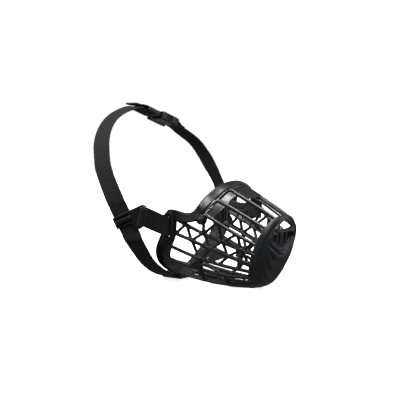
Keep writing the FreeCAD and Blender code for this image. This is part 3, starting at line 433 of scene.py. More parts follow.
for key in ("A", "2", "3", "S1", "S2", "S3", "S4"):
    line = BAR_LINE[key][::2]
    line = np.concatenate([line, BAR_LINE[key][-1:]])
    deep_rod(line, 2.0, 1.9, 0.9)
rail = even(spline([(24.0, -HW + 0.25, 72.4), (33.0, -HW + 0.25, 71.2), (42.0, -HW + 0.25, 70.8), (52.0, -HW + 0.25, 71.6), (58.0, -HW + 0.25, 72.8)], 6), 3.0)[0]
deep_rod(rail, 1.35, 0, 0.6)
arms = [(bar_at("S2", 25.0, 0.3), bar_at("S1", 37.8, 0.3)), (bar_at("S1", 39.1, 0.3), bar_at("S2", 44.0, 0.3)),
        (bar_at("S2", 44.6, 0.3), bar_at("S1", 59.4, 0.3)), (bar_at("S1", 60.2, 0.3), bar_at("S2", 67.0, 0.3)),
        (bar_at("S2", 67.8, 0.3), bar_at("S1", 81.8, 0.3)), (bar_at("S1", 82.4, 0.3), bar_at("S2", 87.3, 0.3)),
        (bar_at("S2", 87.9, 0.3), bar_at("S1", 103.8, 0.3)), (bar_at("S1", 104.4, 0.3), bar_at("S2", 111.4, 0.3)),
        (bar_at("S1", 59.4, 0.3), vec(63.2, -HW + 0.4, 67.6)), (bar_at("S1", 60.2, 0.3), bar_at("3", 79.4, 0.4)),
        (bar_at("3", 80.2, 0.4), bar_at("S1", 81.9, 0.3)), (bar_at("S1", 82.6, 0.3), bar_at("3", 100.5, 0.4)),
        (bar_at("3", 101.3, 0.4), bar_at("S1", 103.9, 0.3)), (bar_at("S1", 104.6, 0.3), bar_at("3", 117.8, 0.4)),
        (bar_at("S2", 44.8, 0.3), bar_at("S3", 51.6, 0.3)), (bar_at("S3", 53.6, 0.3), bar_at("S2", 67.0, 0.3)),
        (bar_at("S3", 75.2, 0.3), bar_at("S2", 88.4, 0.3)), (bar_at("S3", 96.8, 0.3), bar_at("S2", 106.4, 0.3))]
for a, b in arms:
    for s in (1, -1):
        m = vec(1, s, 1)
        if s < 0:
            # the arms on the left side sit a little further forward
            go = vec(4.4, 0.8, -1.5)
            a, b = a + go, b + go
            if max(a[0], b[0]) > cap_x(max(a[2], b[2])) + 2:
                continue
        bf.capsule(a * m, b * m, 1.4, k=1.5)
        off_in = vec(0, 1.3, -0.3)
        bf.capsule((a + off_in) * m, (b + off_in) * m, 1.2, k=1.5)
hoop = even(spline([(53.0, -41.0, 30.0), (51.8, -39.4, 24.5), (50.6, -37.2, 18.5), (50.2, -35.0, 11.0)], 6), 2.0)[0]
for i in range(len(hoop) - 1):
    for s in (1, -1):
        m = vec(1, s, 1)
        bf.capsule(hoop[i] * m, hoop[i + 1] * m, 2.1, k=0.2)
        bf.capsule((hoop[i] + vec(0.3, 2.4, -0.4)) * m, (hoop[i + 1] + vec(0.3, 2.4, -0.4)) * m, 2.0, k=1.2)
arc = even(spline([(51.8, -39.4, 23.0), (60.0, -37.6, 21.8), (66.9, -35.4, 19.4), (72.3, -32.7, 16.2), (76.0, -30.8, 13.6)], 6), 2.0)[0]
deep_rod(arc, 1.4, 1.1, 1.0)


def plate(corners, half_t, r=0.5, k=0.8):
    """Flat triangular web between three points, on both sides."""
    for s in (1, -1):
        c = [np.asarray(p, float) * vec(1, s, 1) for p in corners]
        ux = unit(c[1] - c[0])
        nz = unit(np.cross(ux, c[2] - c[0]))
        uy = np.cross(nz, ux)
        tri = [((p - c[0]) @ ux, (p - c[0]) @ uy) for p in c]
        if (tri[1][0] - tri[0][0]) * (tri[2][1] - tri[0][1]) - (tri[1][1] - tri[0][1]) * (tri[2][0] - tri[0][0]) < 0:
            tri = tri[::-1]
        bf.prism(rounded(tri, 1.2), c[0], np.array([ux, uy, nz]), -half_t, half_t, r, k)


plate([(51.5, -40.3, 30.2), (38.5, -41.0, 20.3), (50.6, -38.3, 18.0)], 0.8)

# chin grille
belly = {
    "B1": [(6.0, -23.5, 10.0), (35.0, -24.5, 4.6), (75.0, -22.6, 1.6), tuple(cap_point(-17.2, 3.6))],
    "B0": [(6.0, -8.4, 3.6), (35.0, -8.8, -0.4), (75.0, -8.8, -1.6), tuple(cap_point(-7.8, -0.6))],
}
for pts in belly.values():
    line = even(spline(pts, 8), 5.0)[0]
    for i in range(len(line) - 1):
        for s in (1, -1):
            m = vec(1, s, 1)
            bf.capsule(line[i] * m, line[i + 1] * m, 1.7, k=0.1)
            up2 = vec(0, 0, 1.9)
            bf.capsule((line[i] + up2) * m, (line[i + 1] + up2) * m, 1.6, k=0.1)
cross = [[(50.2, -35.0, 12.0), (47.6, -25.0, 4.0), (46.0, -9.0, -1.0), (46.0, 0, -1.5)],
         [bar_at("S4", 78.4, 0.2), (78.0, -22.4, 1.9), (79.0, -8.8, -1.6), (79.5, 0, -1.8)]]
for pts in cross:
    line = even(spline(pts, 6), 3.5)[0]
    for i in range(len(line) - 1):
        for s in (1, -1):
            m = vec(1, s, 1)
            bf.capsule(line[i] * m, line[i + 1] * m, 1.6, k=0.1)
            bf.capsule((line[i] + vec(0.6, 0, 1.6)) * m, (line[i + 1] + vec(0.6, 0, 1.6)) * m, 1.5, k=0.1)
bf.capsule((45.2, 9.6, -0.9), (79.8, -9.4, -1.4), 1.35, k=1.2)
bf.capsule((45.2, -9.6, -0.9), (79.8, 9.4, -1.4), 1.35, k=1.2)
for y in (-1, 1):
    bf.capsule((46.8, y * 8.4, -0.9), (25.4, y * 24.6, 6.1), 1.35, k=1.2)
    bf.capsule((62.6, y * 23.8, 2.5), (45.5, y * 8.5, -0.9), 1.35, k=1.2)
    bf.capsule((61.6, y * 23.9, 2.7), (79.6, y * 8.4, -1.5), 1.35, k=1.2)
    # solid web in the corner between rim, lowest side bar and chin bar
    web = [vec(9.0, y * 38.5, 25.0), vec(40.0, y * 36.4, 22.0), vec(10.0, y * 24.4, 9.4)]
    ux = unit(web[1] - web[0])
    nz = unit(np.cross(ux, web[2] - web[0]))
    uy = np.cross(nz, ux)
    tri = [((p - web[0]) @ ux, (p - web[0]) @ uy) for p in web]
    if (tri[1][0] - tri[0][0]) * (tri[2][1] - tri[0][1]) - (tri[1][1] - tri[0][1]) * (tri[2][0] - tri[0][0]) < 0:
        tri = tri[::-1]
    bf.prism(rounded([tri[0], tri[1], (tri[2][0], tri[2][1])], 2.0), web[0], np.array([ux, uy, nz]), -0.8, 0.8, 0.5, 0.8)

# chin keeper
kx = -11.6
bf.box(vec(kx, 0, 0.0), np.eye(3), (13.4, 9.0, 3.2), 1.2, 1.0)
bf.box(vec(kx, 0, 0.0), np.eye(3), (11.4, 14.0, 1.2), 0.5, 0.3, carve=True)

# arch rib and eyelets
arch_half = [(62.2, -HW, 78.4), (63.2, -46.0, 80.6), (66.0, -41.6, 86.0), (68.6, -36.5, 90.4), (70.8, -31.0, 94.0),
             (72.8, -22.0, 100.0), (74.4, -12.0, 103.9), (75.0, 0.0, 105.4)]
arch = even(spline(arch_half, 6), 2.0)[0]
for i in range(len(arch) - 1):
    for s in (1, -1):
        m = vec(1, s, 1)
        bf.capsule(arch[i] * m, arch[i + 1] * m, 1.5, k=0.05)
# solid web over the middle of the bridge, and round the left eyelet
bf.box(vec(86.0, 0, 98.8), np.array([unit(vec(1, 0, -0.435)), vec(0, 1, 0), unit(vec(0.435, 0, 1))]), (10.6, 13.6, 0.8), 0.4, 0.3)
for x, z, hx, hz in ((44.0, 68.6, 8.0, 4.2), (56.0, 70.0, 7.0, 6.6), (66.0, 70.5, 6.5, 5.4)):
    bf.box(vec(x, 45.6 - 0.12 * max(0, x - 58), z), np.eye(3), (hx, 0.8, hz), 0.4, 1.0)
# thin solid web between the rib and the first stretch of the bars, set back from their faces
web_arch = spline(arch_half[1:], 6)
kk = np.abs(web_arch[:, 1:2]) / HW
web_rear = web_arch + np.concatenate([0.4 + 0 * kk, 1.5 * kk, -2.3 + 0 * kk], 1)
web_front = web_arch + np.concatenate([9.6 + 1.6 * (kk > 0.6), 3.4 * kk ** 1.5, -6.2 + 0.5 * kk], 1)
strip(bf, web_rear, web_front, 0.75, 0.5, 0.8)
for s in (-1, 1):
    c = vec(STUD[0], s * (HW - 0.0), STUD[2])
    bf.disc(c, (0, 1, 0), 6.0, 1.2, 0.5, 0.7)
    bf.disc(c, (0, 1, 0), 2.25, 6, 0.05, 0.2, carve=True)

Vb, Fb = bf.mesh(2)
basket = new_mesh("basket_moulding", Vb, Fb)
del bf
print("basket faces", len(Fb))

# ------------------------------------------------------------------ nose cap moulding
outline = [(0, 78.2), (7, 77.9), (14, 76.6), (21.0, 72.6), (27.0, 66.8), (31.0, 59.5), (33.0, 51.3), (33.4, 40.6),
           (31.8, 30.2), (28.6, 22.0), (24.9, 13.2), (21.4, 7.2), (16.5, 1.8), (9.0, -1.6), (0, -2.6)]
KV = math.hypot(1, 0.42)
cap_n = unit(vec(1, 0, -0.42))
cap_v = unit(vec(0.42, 0, 1))
ring = [(y, z * KV) for y, z in outline] + [(-y, z * KV) for y, z in reversed(outline[1:-1])]
ring = spline(ring + [ring[0]], 3)[:-1]
HC = 0.4
cap_lo, cap_hi = vec(-4.5, -36.5, -6.5), vec(17.5, 36.5, 88.5)
cf = Field(cap_lo, cap_hi, HC)
gd = (cap_lo[0] + np.arange(cf.n[0]) * HC).astype(np.float32)[:, None, None]
gy = (cap_lo[1] + np.arange(cf.n[1]) * HC).astype(np.float32)[:, None]
gv = (cap_lo[2] + np.arange(cf.n[2]) * HC).astype(np.float32)[None, :]
gy, gv = np.broadcast_arrays(gy, gv)
gz = gv / KV
s2 = poly_sdf(gy, gv, ring)


def sstep(x):
    x = np.clip(x, 0, 1)
    return x * x * (3 - 2 * x)


# how far out along its own ray each point lies: 0 at the middle, 1 on the outline
CZ = 36.0
phi = np.arctan2(gz - CZ, gy)
op = np.array([(y, z / KV) for y, z in ring])
oang = np.arctan2(op[:, 1] - CZ, op[:, 0])
orad = np.hypot(op[:, 1] - CZ, op[:, 0])
order = np.argsort(oang)
oang, orad = oang[order], orad[order]
oang = np.concatenate([oang - 2 * np.pi, oang, oang + 2 * np.pi])
orad = np.tile(orad, 3)
rad = np.hypot(gz - CZ, gy)
rn = np.clip(rad / np.interp(phi.ravel(), oang, orad).reshape(phi.shape), 0, 1.3)
up = np.sin(phi)
power = np.where(up > 0, 3.4 + (1.9 - 3.4) * up ** 2, 3.4 + (4.6 - 3.4) * up ** 2)
H0 = 13.6 * (1 - np.clip(rn, 0, 1.25) ** power)
# raised lip round the eye
eye = [(-13.6, 67.6), (-10.0, 70.6), (-5.2, 73.2), (0, 74.2), (5.2, 73.2), (10.0, 70.6), (13.6, 67.6),
       (9.6, 66.5), (5.0, 66.2), (0, 66.2), (-5.0, 66.2), (-9.6, 66.5)]
eye = [(y, z * KV) for y, z in eye]
eye = spline(eye + [eye[0]], 3)[:-1]
s_eye = poly_sdf(gy, gv, eye)
Hh = H0 + 1.25 * np.exp(-((s_eye - 1.1) / 0.95) ** 2) - 0.65 * np.exp(-((s_eye - 3.6) / 1.3) ** 2)
# sunk shield with the slots, pointing down
shield = rounded([(-21.0, 60.8 * KV), (-13.0, 63.6 * KV), (13.0, 63.6 * KV), (21.0, 60.8 * KV), (20.5, 55.0 * KV), (3.6, 45.2 * KV),
                  (-3.6, 45.2 * KV), (-20.5, 55.0 * KV)], 3.0)
s_sh = poly_sdf(gy, gv, shield)
low_side = sstep((63 - gz) / 5)
Hh = Hh - 4.0 * sstep(-s_sh / 2.0) + (1.2 * np.exp(-((s_sh - 0.9) / 0.9) ** 2) - 1.1 * np.exp(-((s_sh - 3.6) / 1.3) ** 2)) * low_side
# overlapping scales: each one drops off along its lower edge
q = gz - 0.0225 * gy ** 2 - 1.5e-5 * gy ** 4
fade = 1 - sstep((np.abs(gy) - 11.0) / 13.0)


def scale_step(q, z0, z1, deep):
    """Surface below the edge at z0, rising back to flush at z1."""
    t = np.clip((z0 - q) / (z0 - z1), 0, 1)
    soft = sstep((z0 - q) / 0.55)
    return -deep * soft * (1 - t) ** 1.25


steps = fade * (scale_step(q, 36.2, 25.6, 2.6) + scale_step(q, 24.4, 15.2, 2.5) + scale_step(q, 13.9, 5.0, 2.3))
Hh = Hh + steps
# soft swelling of the top scale and the gate mark under the shield's point
Hh = Hh + 0.8 * np.exp(-((gy / 13.0) ** 2 + ((gz - 41.0) / 6.0) ** 2)) * (q > 36.2)
rho = np.hypot(gy / 1.0, (gz - 41.6))
Hh = Hh + 0.55 * np.exp(-((rho - 1.5) / 0.42) ** 2) + 0.35 * np.exp(-(np.hypot(gy, gz - 38.4) / 0.5) ** 2)
# rolled band along the rear edge with a shallow valley inside it
band_w = sstep((gz - 8.0) / 22.0) * sstep((76.0 - gz) / 12.0)
Hh = Hh - 1.35 * band_w * np.exp(-((-s2 - 5.4) / 1.5) ** 2) + 1.2 * band_w * np.exp(-((-s2 - 2.3) / 1.3) ** 2)
dHy, dHv = np.gradient(Hh, HC)
steep = np.sqrt(1 + np.minimum(dHy ** 2 + dHv ** 2, 9.0))
top = (gd - Hh[None]) / steep[None]
outer = smax(smax(top, s2[None] + 0.0 * gd, 1.8), (-3.2 - gd) + 0 * top, 0.8)
Hi = H0 - 3.4 - 4.0 * sstep(-s_sh / 2.0) + steps
dHy, dHv = np.gradient(Hi, HC)
steep_i = np.sqrt(1 + np.minimum(dHy ** 2 + dHv ** 2, 9.0))
inner = smax((gd - Hi[None]) / steep_i[None], s2[None] + 2.3 + 0.0 * gd, 1.5)
cf.D = smax(outer, -inner, 0.6).astype(np.float32)
cf.D = smax(cf.D, -(s_eye[None] + 0 * gd), 0.9).astype(np.float32)
floor_d = (gd - (Hi[None] + 0.9)) / steep_i[None]
for y, z0, z1 in ((-5.0, 49.6, 62.2), (5.0, 49.6, 62.2), (-11.6, 53.2, 61.8), (11.6, 53.2, 61.8), (17.2, 56.6, 60.8), (-17.2, 56.6, 60.8)):
    sl_poly = rounded([(y - 1.35, z0 * KV), (y + 1.35, z0 * KV), (y + 1.35, z1 * KV), (y - 1.35, z1 * KV)], 1.2)
    pocket = smax(poly_sdf(gy, gv, sl_poly)[None] + 0 * gd, -floor_d, 0.3)
    cf.D = smax(cf.D, -pocket, 0.4).astype(np.float32)
Vc, Fc = cf.mesh(2)
base = vec(103.4, 0, 0)
Vc = base + Vc[:, 0:1] * cap_n + Vc[:, 1:2] * vec(0, 1, 0) + Vc[:, 2:3] * cap_v
cap_ob = new_mesh("nose_cap_moulding", Vc, Fc)
del cf
print("cap faces", len(Fc))

# ------------------------------------------------------------------ brow band
off, brow_t = 2.4, 2.2
b_rear = [(11.6, 50.5), (11.4, 60.0), (12.6, 70.0), (14.5, 77.0), (18.0, 80.4), (25.0, 80.9), (33.0, 79.9), (41.0, 79.1),
          (48.3, 80.0), (54.0, 83.4)]
b_front = [(25.0, 50.5), (25.2, 58.0), (25.4, 64.0), (26.0, 68.4), (29.0, 69.2), (33.0, 68.9), (38.0, 68.5), (44.0, 68.6),
           (50.6, 69.8), (56.4, 73.0)]
rear_pts = [(x, -HW - off, z) for x, z in b_rear]
front_pts = [(x, -HW - off, z) for x, z in b_front]
rear_pts += [(57.4, -48.6, 88.0), (59.6, -44.0, 93.4), (61.4, -38.5, 98.6), (62.6, -31.0, 103.0), (63.6, -21.0, 106.9),
             (64.6, -10.0, 109.3), (65.0, 0.0, 109.9)]
front_pts += [(61.2, -49.0, 79.2), (64.0, -46.4, 84.2), (67.2, -40.2, 90.2), (69.8, -32.2, 95.4), (71.8, -21.9, 101.4),
              (73.2, -11.0, 105.2), (73.8, 0.0, 106.6)]
BR, BF = spline(rear_pts, 7), spline(front_pts, 7)
BR = np.concatenate([BR, (BR[:-1] * vec(1, -1, 1))[::-1]])
BF = np.concatenate([BF, (BF[:-1] * vec(1, -1, 1))[::-1]])
HB = 0.5
wf = Field((8, -55, 46), (76, 55, 114), HB)
strip(wf, BR, BF, brow_t / 2 + 0.05, 0.85, 0.3, sides=(1,))
for s in (-1, 1):
    wf.disc(vec(STUD[0] - 1.0, s * (HW + off), STUD[2]), (0, 1, 0), 5.6, brow_t / 2, 0.7, 0.9)
    # raised frame at the slot, open at the rear
    yy = s * (HW + off + 0.75)
    wf.box(vec(22.0, yy, 62.6), np.eye(3), (1.75, 1.45, 12.4), 0.8, 0.7)
    wf.box(vec(18.2, yy, 75.6), np.array([[math.cos(0.25), 0, math.sin(0.25)], [0, 1, 0], [-math.sin(0.25), 0, math.cos(0.25)]]), (5.2, 1.35, 1.5), 0.7, 0.7)
    wf.box(vec(SLOT_X, s * HW, SLOT_Z), np.eye(3), (SLOT_W / 2, 8, SLOT_L / 2), 0.5, 0.3, carve=True)
    wf.disc(vec(STUD[0], s * HW, STUD[2]), (0, 1, 0), 6.4, 1.3, 0.1, 0.1, carve=True)
    wf.disc(vec(STUD[0], s * HW, STUD[2]), (0, 1, 0), 2.25, 9, 0.05, 0.2, carve=True)
for i in range(len(arch) - 1):
    for s in (1, -1):
        m = vec(1, s, 1)
        wf.capsule(arch[i] * m, arch[i + 1] * m, 1.72, k=0.1, carve=True)
Vw, Fw = wf.mesh(2)
brow = new_mesh("brow_band_moulding", Vw, Fw)
del wf
print("brow faces", len(Fw))

# ------------------------------------------------------------------ snap studs
studs = []
for s, nm in ((-1, "right"), (1, "left")):
    HS = 0.2
    c = vec(STUD[0], s * HW, STUD[2])
    sf = Field(c - vec(5.5, 7.5, 5.5), c + vec(5.5, 7.5, 5.5), HS)
    sf.disc(vec(STUD[0], s * (HW + 4.2), STUD[2]), (0, 1, 0), 3.9, 0.8, 0.6, 0.1)
    sf.capsule(vec(STUD[0], s * (HW + 2.6), STUD[2]), vec(STUD[0], s * (HW + 2.7), STUD[2]), 3.2, k=0.5)
    sf.disc(vec(STUD[0], s * (HW + 1.2), STUD[2]), (0, 1, 0), 2.0, 4.0, 0.2, 0.3)
    sf.disc(vec(STUD[0], s * (HW - 2.1), STUD[2]), (0, 1, 0), 2.85, 0.8, 0.5, 0.1)
    v, f = sf.mesh(1)
    studs.append(new_mesh("snap_stud_head_" + nm, v, f))

# ------------------------------------------------------------------ strap slides
HF = 0.3
corner_lo, corner_hi = vec(-16, -5.2, -19.5), vec(31, 4.2, 10.5)


def ub(u, b):
    return (u * ca + b * sa, -u * sa + b * ca)


sf = Field(corner_lo, corner_hi, HF)
# local axes of the field: x = across the webbing, y = inwards, z = along the webbing
RXZ = np.array([[1, 0, 0], [0, 0, 1], [0, 1, 0]], float)   # polygon in (w, t), extruded along y
plate = rounded([(-13, -6.5, 1.6), (4.9, -6.5, 1.2), (5.4, -10.3, 1.5), (6.4, -12.0, 1.6), (10.6, -15.9, 1.6), (12.6, -15.5, 1.6),
                 (27.2, 2.0, 2.2), (27.3, 3.9, 2.2), (24.6, 7.2, 2.6), (-13, 7.0, 2.4)], 1.5)
sf.prism(plate, (0, 0, 0), RXZ, -3.15, 2.75, 0.8, 0.1)
# the slanted slot through the arm
slot_poly = rounded([ub(13.0, -2.5), ub(16.2, -2.5), ub(16.2, 19.0), ub(13.0, 19.0)], 0.8)
sf.prism(slot_poly, (0, 0, 0), RXZ, -8, 8, 0.05, 0.5, carve=True)
# sleeve and recessed window
sf.box(vec(-1.5, 0, 0), np.eye(3), (10.7, 1.15, 30), 0.3, 0.25, carve=True)
win = rounded([(-11.6, -4.6), (8.6, -4.6), (8.6, 4.9), (-11.6, 4.9)], 1.2)
sf.prism(win, (0, 0, 0), RXZ, -9.0, -0.9, 0.05, 0.6, carve=True)
sf.box(vec(-1.5, -3.2, 0.2), np.eye(3), (9.7, 1.45, 2.25), 1.1, 0.3)
sf.box(vec(-1.5, -2.2, 0.2), np.eye(3), (10.6, 0.95, 1.6), 0.5, 0.3)
# grip lip along the slanted edge
g0, g1 = ub(18.2, -2.8), ub(18.2, 18.6)
sf.capsule(vec(g0[0], -2.9, g0[1]), vec(g1[0], -2.9, g1[1]), 0.95, k=0.8)
Vs, Fs = sf.mesh(2)


def place(v, origin, w, n, t):
    return np.asarray(origin) + v[:, 0:1] * w + v[:, 1:2] * n + v[:, 2:3] * t


Vr = place(Vs, SL_C, sl_w, sl_n, sl_t)
slide_r = new_mesh("strap_slide_frame_right", Vr, Fs)
slide_l = new_mesh("strap_slide_frame_left", Vr * vec(1, -1, 1), Fs[:, ::-1])
del sf

# ------------------------------------------------------------------ buckle
bw, bt, bwall = 27.0, 9.4, 1.7
XZ = RXZ


def in_buckle(v):
    return place(v, BK_C, bk_w, bk_n, bk_t)


ff = Field((-16, -7, -6), (16, 7, 27), HF)
ff.prism(rounded([(-bw / 2, -3.0, 1.0), (bw / 2, -3.0, 1.0), (bw / 2, 16.0, 3), (bw / 2 - 1.6, 23.5, 1.6), (-bw / 2 + 1.6, 23.5, 1.6),
                  (-bw / 2, 16.0, 3)], 1.0), (0, 0, 0), XZ, -bt / 2, bt / 2, 1.5, 0.1)
ff.box(vec(0, 0, 5.0), np.eye(3), (bw / 2 - bwall, bt / 2 - bwall, 10.0), 0.8, 0.3, carve=True)
ff.box(vec(0, 0, 6.9), np.eye(3), (20, bt / 2 - 2.2, 4.7), 1.2, 0.4, carve=True)
ff.box(vec(0, 0, 19.0), np.eye(3), (10.7, 8, 1.7), 0.6, 0.4, carve=True)
for s in (-1, 1):
    ff.box(vec(0, s * 3.6, 23.0), np.eye(3), (10.7, 2.45, 3.0), 0.6, 0.5, carve=True)
    # shallow thumb hollow on each broad face
    ff.disc(vec(0, s * (bt / 2 + 5.2), 7.0), (0, 1, 0), 8.0, 5.8, 2.0, 0.8, carve=True)
v, f = ff.mesh(2)
female = new_mesh("buckle_socket", in_buckle(v), f)
mf = Field((-16, -5, -27), (16, 5, 15), HF)
mf.prism(rounded([(-bw / 2, -23.5, 1.8), (bw / 2, -23.5, 1.8), (bw / 2, -8.4, 1.5), (bw / 2 - 1.2, -4.6, 1.0), (bw / 2 - 5.6, -4.6, 0.5),
                  (bw / 2 - 5.6, -3.4, 0.5), (-bw / 2 + 5.6, -3.4, 0.5), (-bw / 2 + 5.6, -4.6, 0.5), (-bw / 2 + 1.2, -4.6, 1.0),
                  (-bw / 2, -8.4, 1.5)], 1.0), (0, 0, 0), XZ, -2.5, 2.5, 1.0, 0.1)
mf.box(vec(0, 0, -18.4), np.eye(3), (10.7, 6, 2.1), 0.5, 0.4, carve=True)
mf.box(vec(0, 0, -11.5), np.eye(3), (10.7, 6, 1.8), 0.5, 0.4, carve=True)
for s in (-1, 1):
    mf.box(vec(0, s * 4.5, -18.0), np.eye(3), (10.7, 2.95, 7.0), 0.5, 0.4, carve=True)
mf.prism(rounded([(-2.6, -4.6, 0.3), (2.6, -4.6, 0.3), (2.6, 11.5, 0.8), (1.4, 13.0, 0.8), (-1.4, 13.0, 0.8), (-2.6, 11.5, 0.8)], 0.5),
         (0, 0, 0), XZ, -1.8, 1.8, 0.5, 0.3)
v, f = mf.mesh(2)
male = new_mesh("buckle_plug", in_buckle(v), f)
prongs = []
for s, nm in ((1, "front"), (-1, "rear")):
    root = bw / 2 - 5.2
    tip = bw / 2 - bwall - 0.45
    pts = [(root - 3.2, -3.0, 0.2), (root, -3.0, 0.2), (root + 0.2, 1.0), (tip - 0.9, 3.2), (tip + bwall - 0.2, 3.4), (tip + bwall + 0.35, 7.4),
           (tip + bwall - 0.6, 10.9), (tip - 0.9, 12.0), (tip - 3.4, 14.2), (tip - 4.6, 13.4), (tip - 4.2, 10.0), (root - 3.2, 2.0)]
    pts = [(s * p[0],) + tuple(p[1:]) for p in pts]
    pf = Field((-16, -4, -5), (16, 4, 17), HF)
    poly = rounded(pts, 0.7)
    pf.prism(poly, (0, 0, 0), XZ, -2.2, 2.2, 0.6, 0.1)
    for k in range(4):
        zz = 4.6 + k * 1.7
        pf.capsule(vec(s * (tip + bwall + 0.7), -3, zz), vec(s * (tip + bwall + 0.7), 3, zz), 0.55, k=0.25, carve=True)
    v, f = pf.mesh(2)
    prongs.append(new_mesh("buckle_prong_" + nm, in_buckle(v), f))
print("hard parts done")

# ------------------------------------------------------------------ webbing
def webbing(name, pts, across, width, thick, pitch=2.85, amp=0.22, selv=1.6, smooth=12, step=0.34, phase=0.0, cells=30):
    """Flat woven strap with cross ribs. uv = (length along, distance across) in mm."""
    data, s = even(np.concatenate([np.asarray(pts, float), np.asarray(across, float)], axis=1), step)
    p = soften(data[:, :3], smooth)
    a = soften(data[:, 3:], smooth)
    n = len(p)
    t = np.gradient(p, axis=0)
    t /= np.linalg.norm(t, axis=1)[:, None]
    w = a - t * (a * t).sum(1)[:, None]
    w /= np.linalg.norm(w, axis=1)[:, None]
    nn = np.cross(t, w)
    half = width / 2
    x = np.linspace(-1, 1, cells + 1)
    x = np.sign(x) * (1 - (1 - np.abs(x)) ** 1.25)
    edge = np.abs(x) * half
    body = sstep((half - selv - edge) / 0.5)
    th = thick / 2 * (1 - 0.45 * np.clip((edge - (half - 0.7)) / 0.7, 0, 1) ** 2)
    rib = (np.abs(np.cos(np.pi * (s + phase) / pitch)) ** 0.75 - 0.55)
    fine = np.cos(2 * np.pi * (s + phase) / (pitch / 2))
    wob = 1 + 0.12 * np.sin(s * 0.37 + 1.3) + 0.1 * rng.standard_normal(n)
    lift = amp * (rib * wob)[:, None] * body[None] + 0.035 * fine[:, None] * (1 - body[None]) + 0.05 * (1 - body[None])
    # slight waviness along the selvedges
    wav = 1 + 0.006 * np.sin(s * 0.9)[:, None] * np.ones_like(x)[None]
    X = x[None] * half * wav
    topn = th[None] + lift
    botn = -(th[None] + np.roll(lift, 0, axis=0))
    V = []
    topv = p[:, None] + w[:, None] * X[..., None] + nn[:, None] * topn[..., None]
    botv = p[:, None] + w[:, None] * X[..., None] + nn[:, None] * botn[..., None]
    rows = np.concatenate([topv, botv[:, ::-1]], axis=1)
    m = rows.shape[1]
    V = rows.reshape(-1, 3)
    i = np.arange(n - 1)[:, None] * m
    j = np.arange(m)[None]
    j2 = (j + 1) % m
    F = np.stack([i + j, i + j2, i + m + j2, i + m + j], -1).reshape(-1, 4)
    faces = F[:, ::-1].tolist()
    caps = []
    k = cells + 1
    for r in (0, n - 1):
        o = r * m
        for c in range(cells):
            quad = [o + c, o + c + 1, o + m - 2 - c, o + m - 1 - c]
            caps.append(quad if r == 0 else quad[::-1])
    ob = new_mesh(name, V, faces + caps)
    me = ob.data
    us = np.repeat(s + phase, m)
    ws = np.tile(np.concatenate([x * half, (x * half)[::-1]]), n)
    layer = me.uv_layers.new(name="webbing")
    idx = np.zeros(len(me.loops), np.int32)
    me.loops.foreach_get("vertex_index", idx)
    uv = np.stack([us[idx], ws[idx]], 1).astype(np.float32)
    layer.data.foreach_set("uv", uv.ravel())
    return ob


def along(ctrl, per, back=False):
    pts = spline([c[:3] for c in ctrl], per)
    rolls = spline([(c[3], 0, 0) for c in ctrl], per)[:, 0]
    w = []
    n = len(pts)
    for i in range(n):
        a, b = pts[max(0, i - 1)], pts[min(n - 1, i + 1)]
        w.append(basis((a - b) if back else (b - a), rolls[i])[0])
    return pts, np.array(w)


def slide_at(k):
    return SL_C - sl_w * 1.5 + sl_t * k


def bk(z, n=0.0, w=0.0):
    return BK_C + bk_t * z + bk_n * n + bk_w * w


chin_half = [(-11.6, 0.0, 0.0, 0.0), (-11.6, -5.0, 0.0, 0.0), (-11.6, -9.5, 0.05, 1.0), (-11.7, -15.0, 1.1, 4.0),
             (-12.0, -25.0, 5.3, 8.0), (-12.0, -36.0, 11.0, 9.0), (-10.9, -51.0, 21.2, 9.0), (-8.6, -65.0, 34.0, 12.0),
             tuple(slide_at(-26.0)) + (18.0,), tuple(slide_at(-16.0)) + (22.0,), tuple(slide_at(-8.0)) + (22.0,),
             tuple(slide_at(-0.2)) + (22.0,)]
pts, acr = along(chin_half, 8)
# the free ends sit inside the sleeves
chin_p = np.concatenate([(pts * vec(1, -1, 1))[::-1][:-1], pts])
chin_a = np.concatenate([(acr * vec(1, -1, 1))[::-1][:-1], acr])
chin = webbing("chin_webbing", chin_p, chin_a, 20.0, 1.5, smooth=40)

near = [tuple(slide_at(0.2)) + (22.0,), tuple(slide_at(8.0)) + (22.0,), tuple(slide_at(16.0)) + (22.0,),
        tuple(slide_at(24.0)) + (19.0,), (-31.5, -90.2, 107.5, 10.0), (-42.5, -86.5, 124.5, 4.0), (-51.0, -79.0, 140.0, 0.0),
        (-58.5, -70.0, 151.5, -3.0), (-64.6, -58.5, 161.5, -6.0), (-69.4, -44.5, 170.0, -7.0), (-72.8, -28.0, 176.2, -5.0),
        (-75.0, -8.0, 180.2, -2.0), tuple(bk(-33.0, 1.9)) + (0.0,), tuple(bk(-26.0, 2.5)) + (0.0,), tuple(bk(-19.0, 2.6)) + (0.0,)]
npts, nacr = along(near, 8)
turn = [bk(-13.4, 2.6), bk(-12.0, 1.9), bk(-11.3, 0.7), bk(-11.3, -0.7), bk(-12.0, -1.9), bk(-13.4, -2.6),
        bk(-18.0, -2.7), bk(-24.0, -2.7), bk(-29.0, -2.0), bk(-34.0, -0.6), bk(-40.0, 0.1)]
turn_s = spline([npts[-1]] + turn, 4)[1:]
npts = np.concatenate([npts, turn_s])
nacr = np.concatenate([nacr, np.tile(bk_w, (len(turn_s), 1))])
neck_r = webbing("neck_webbing_right", npts, nacr, 20.0, 1.5, smooth=5, phase=1.0)

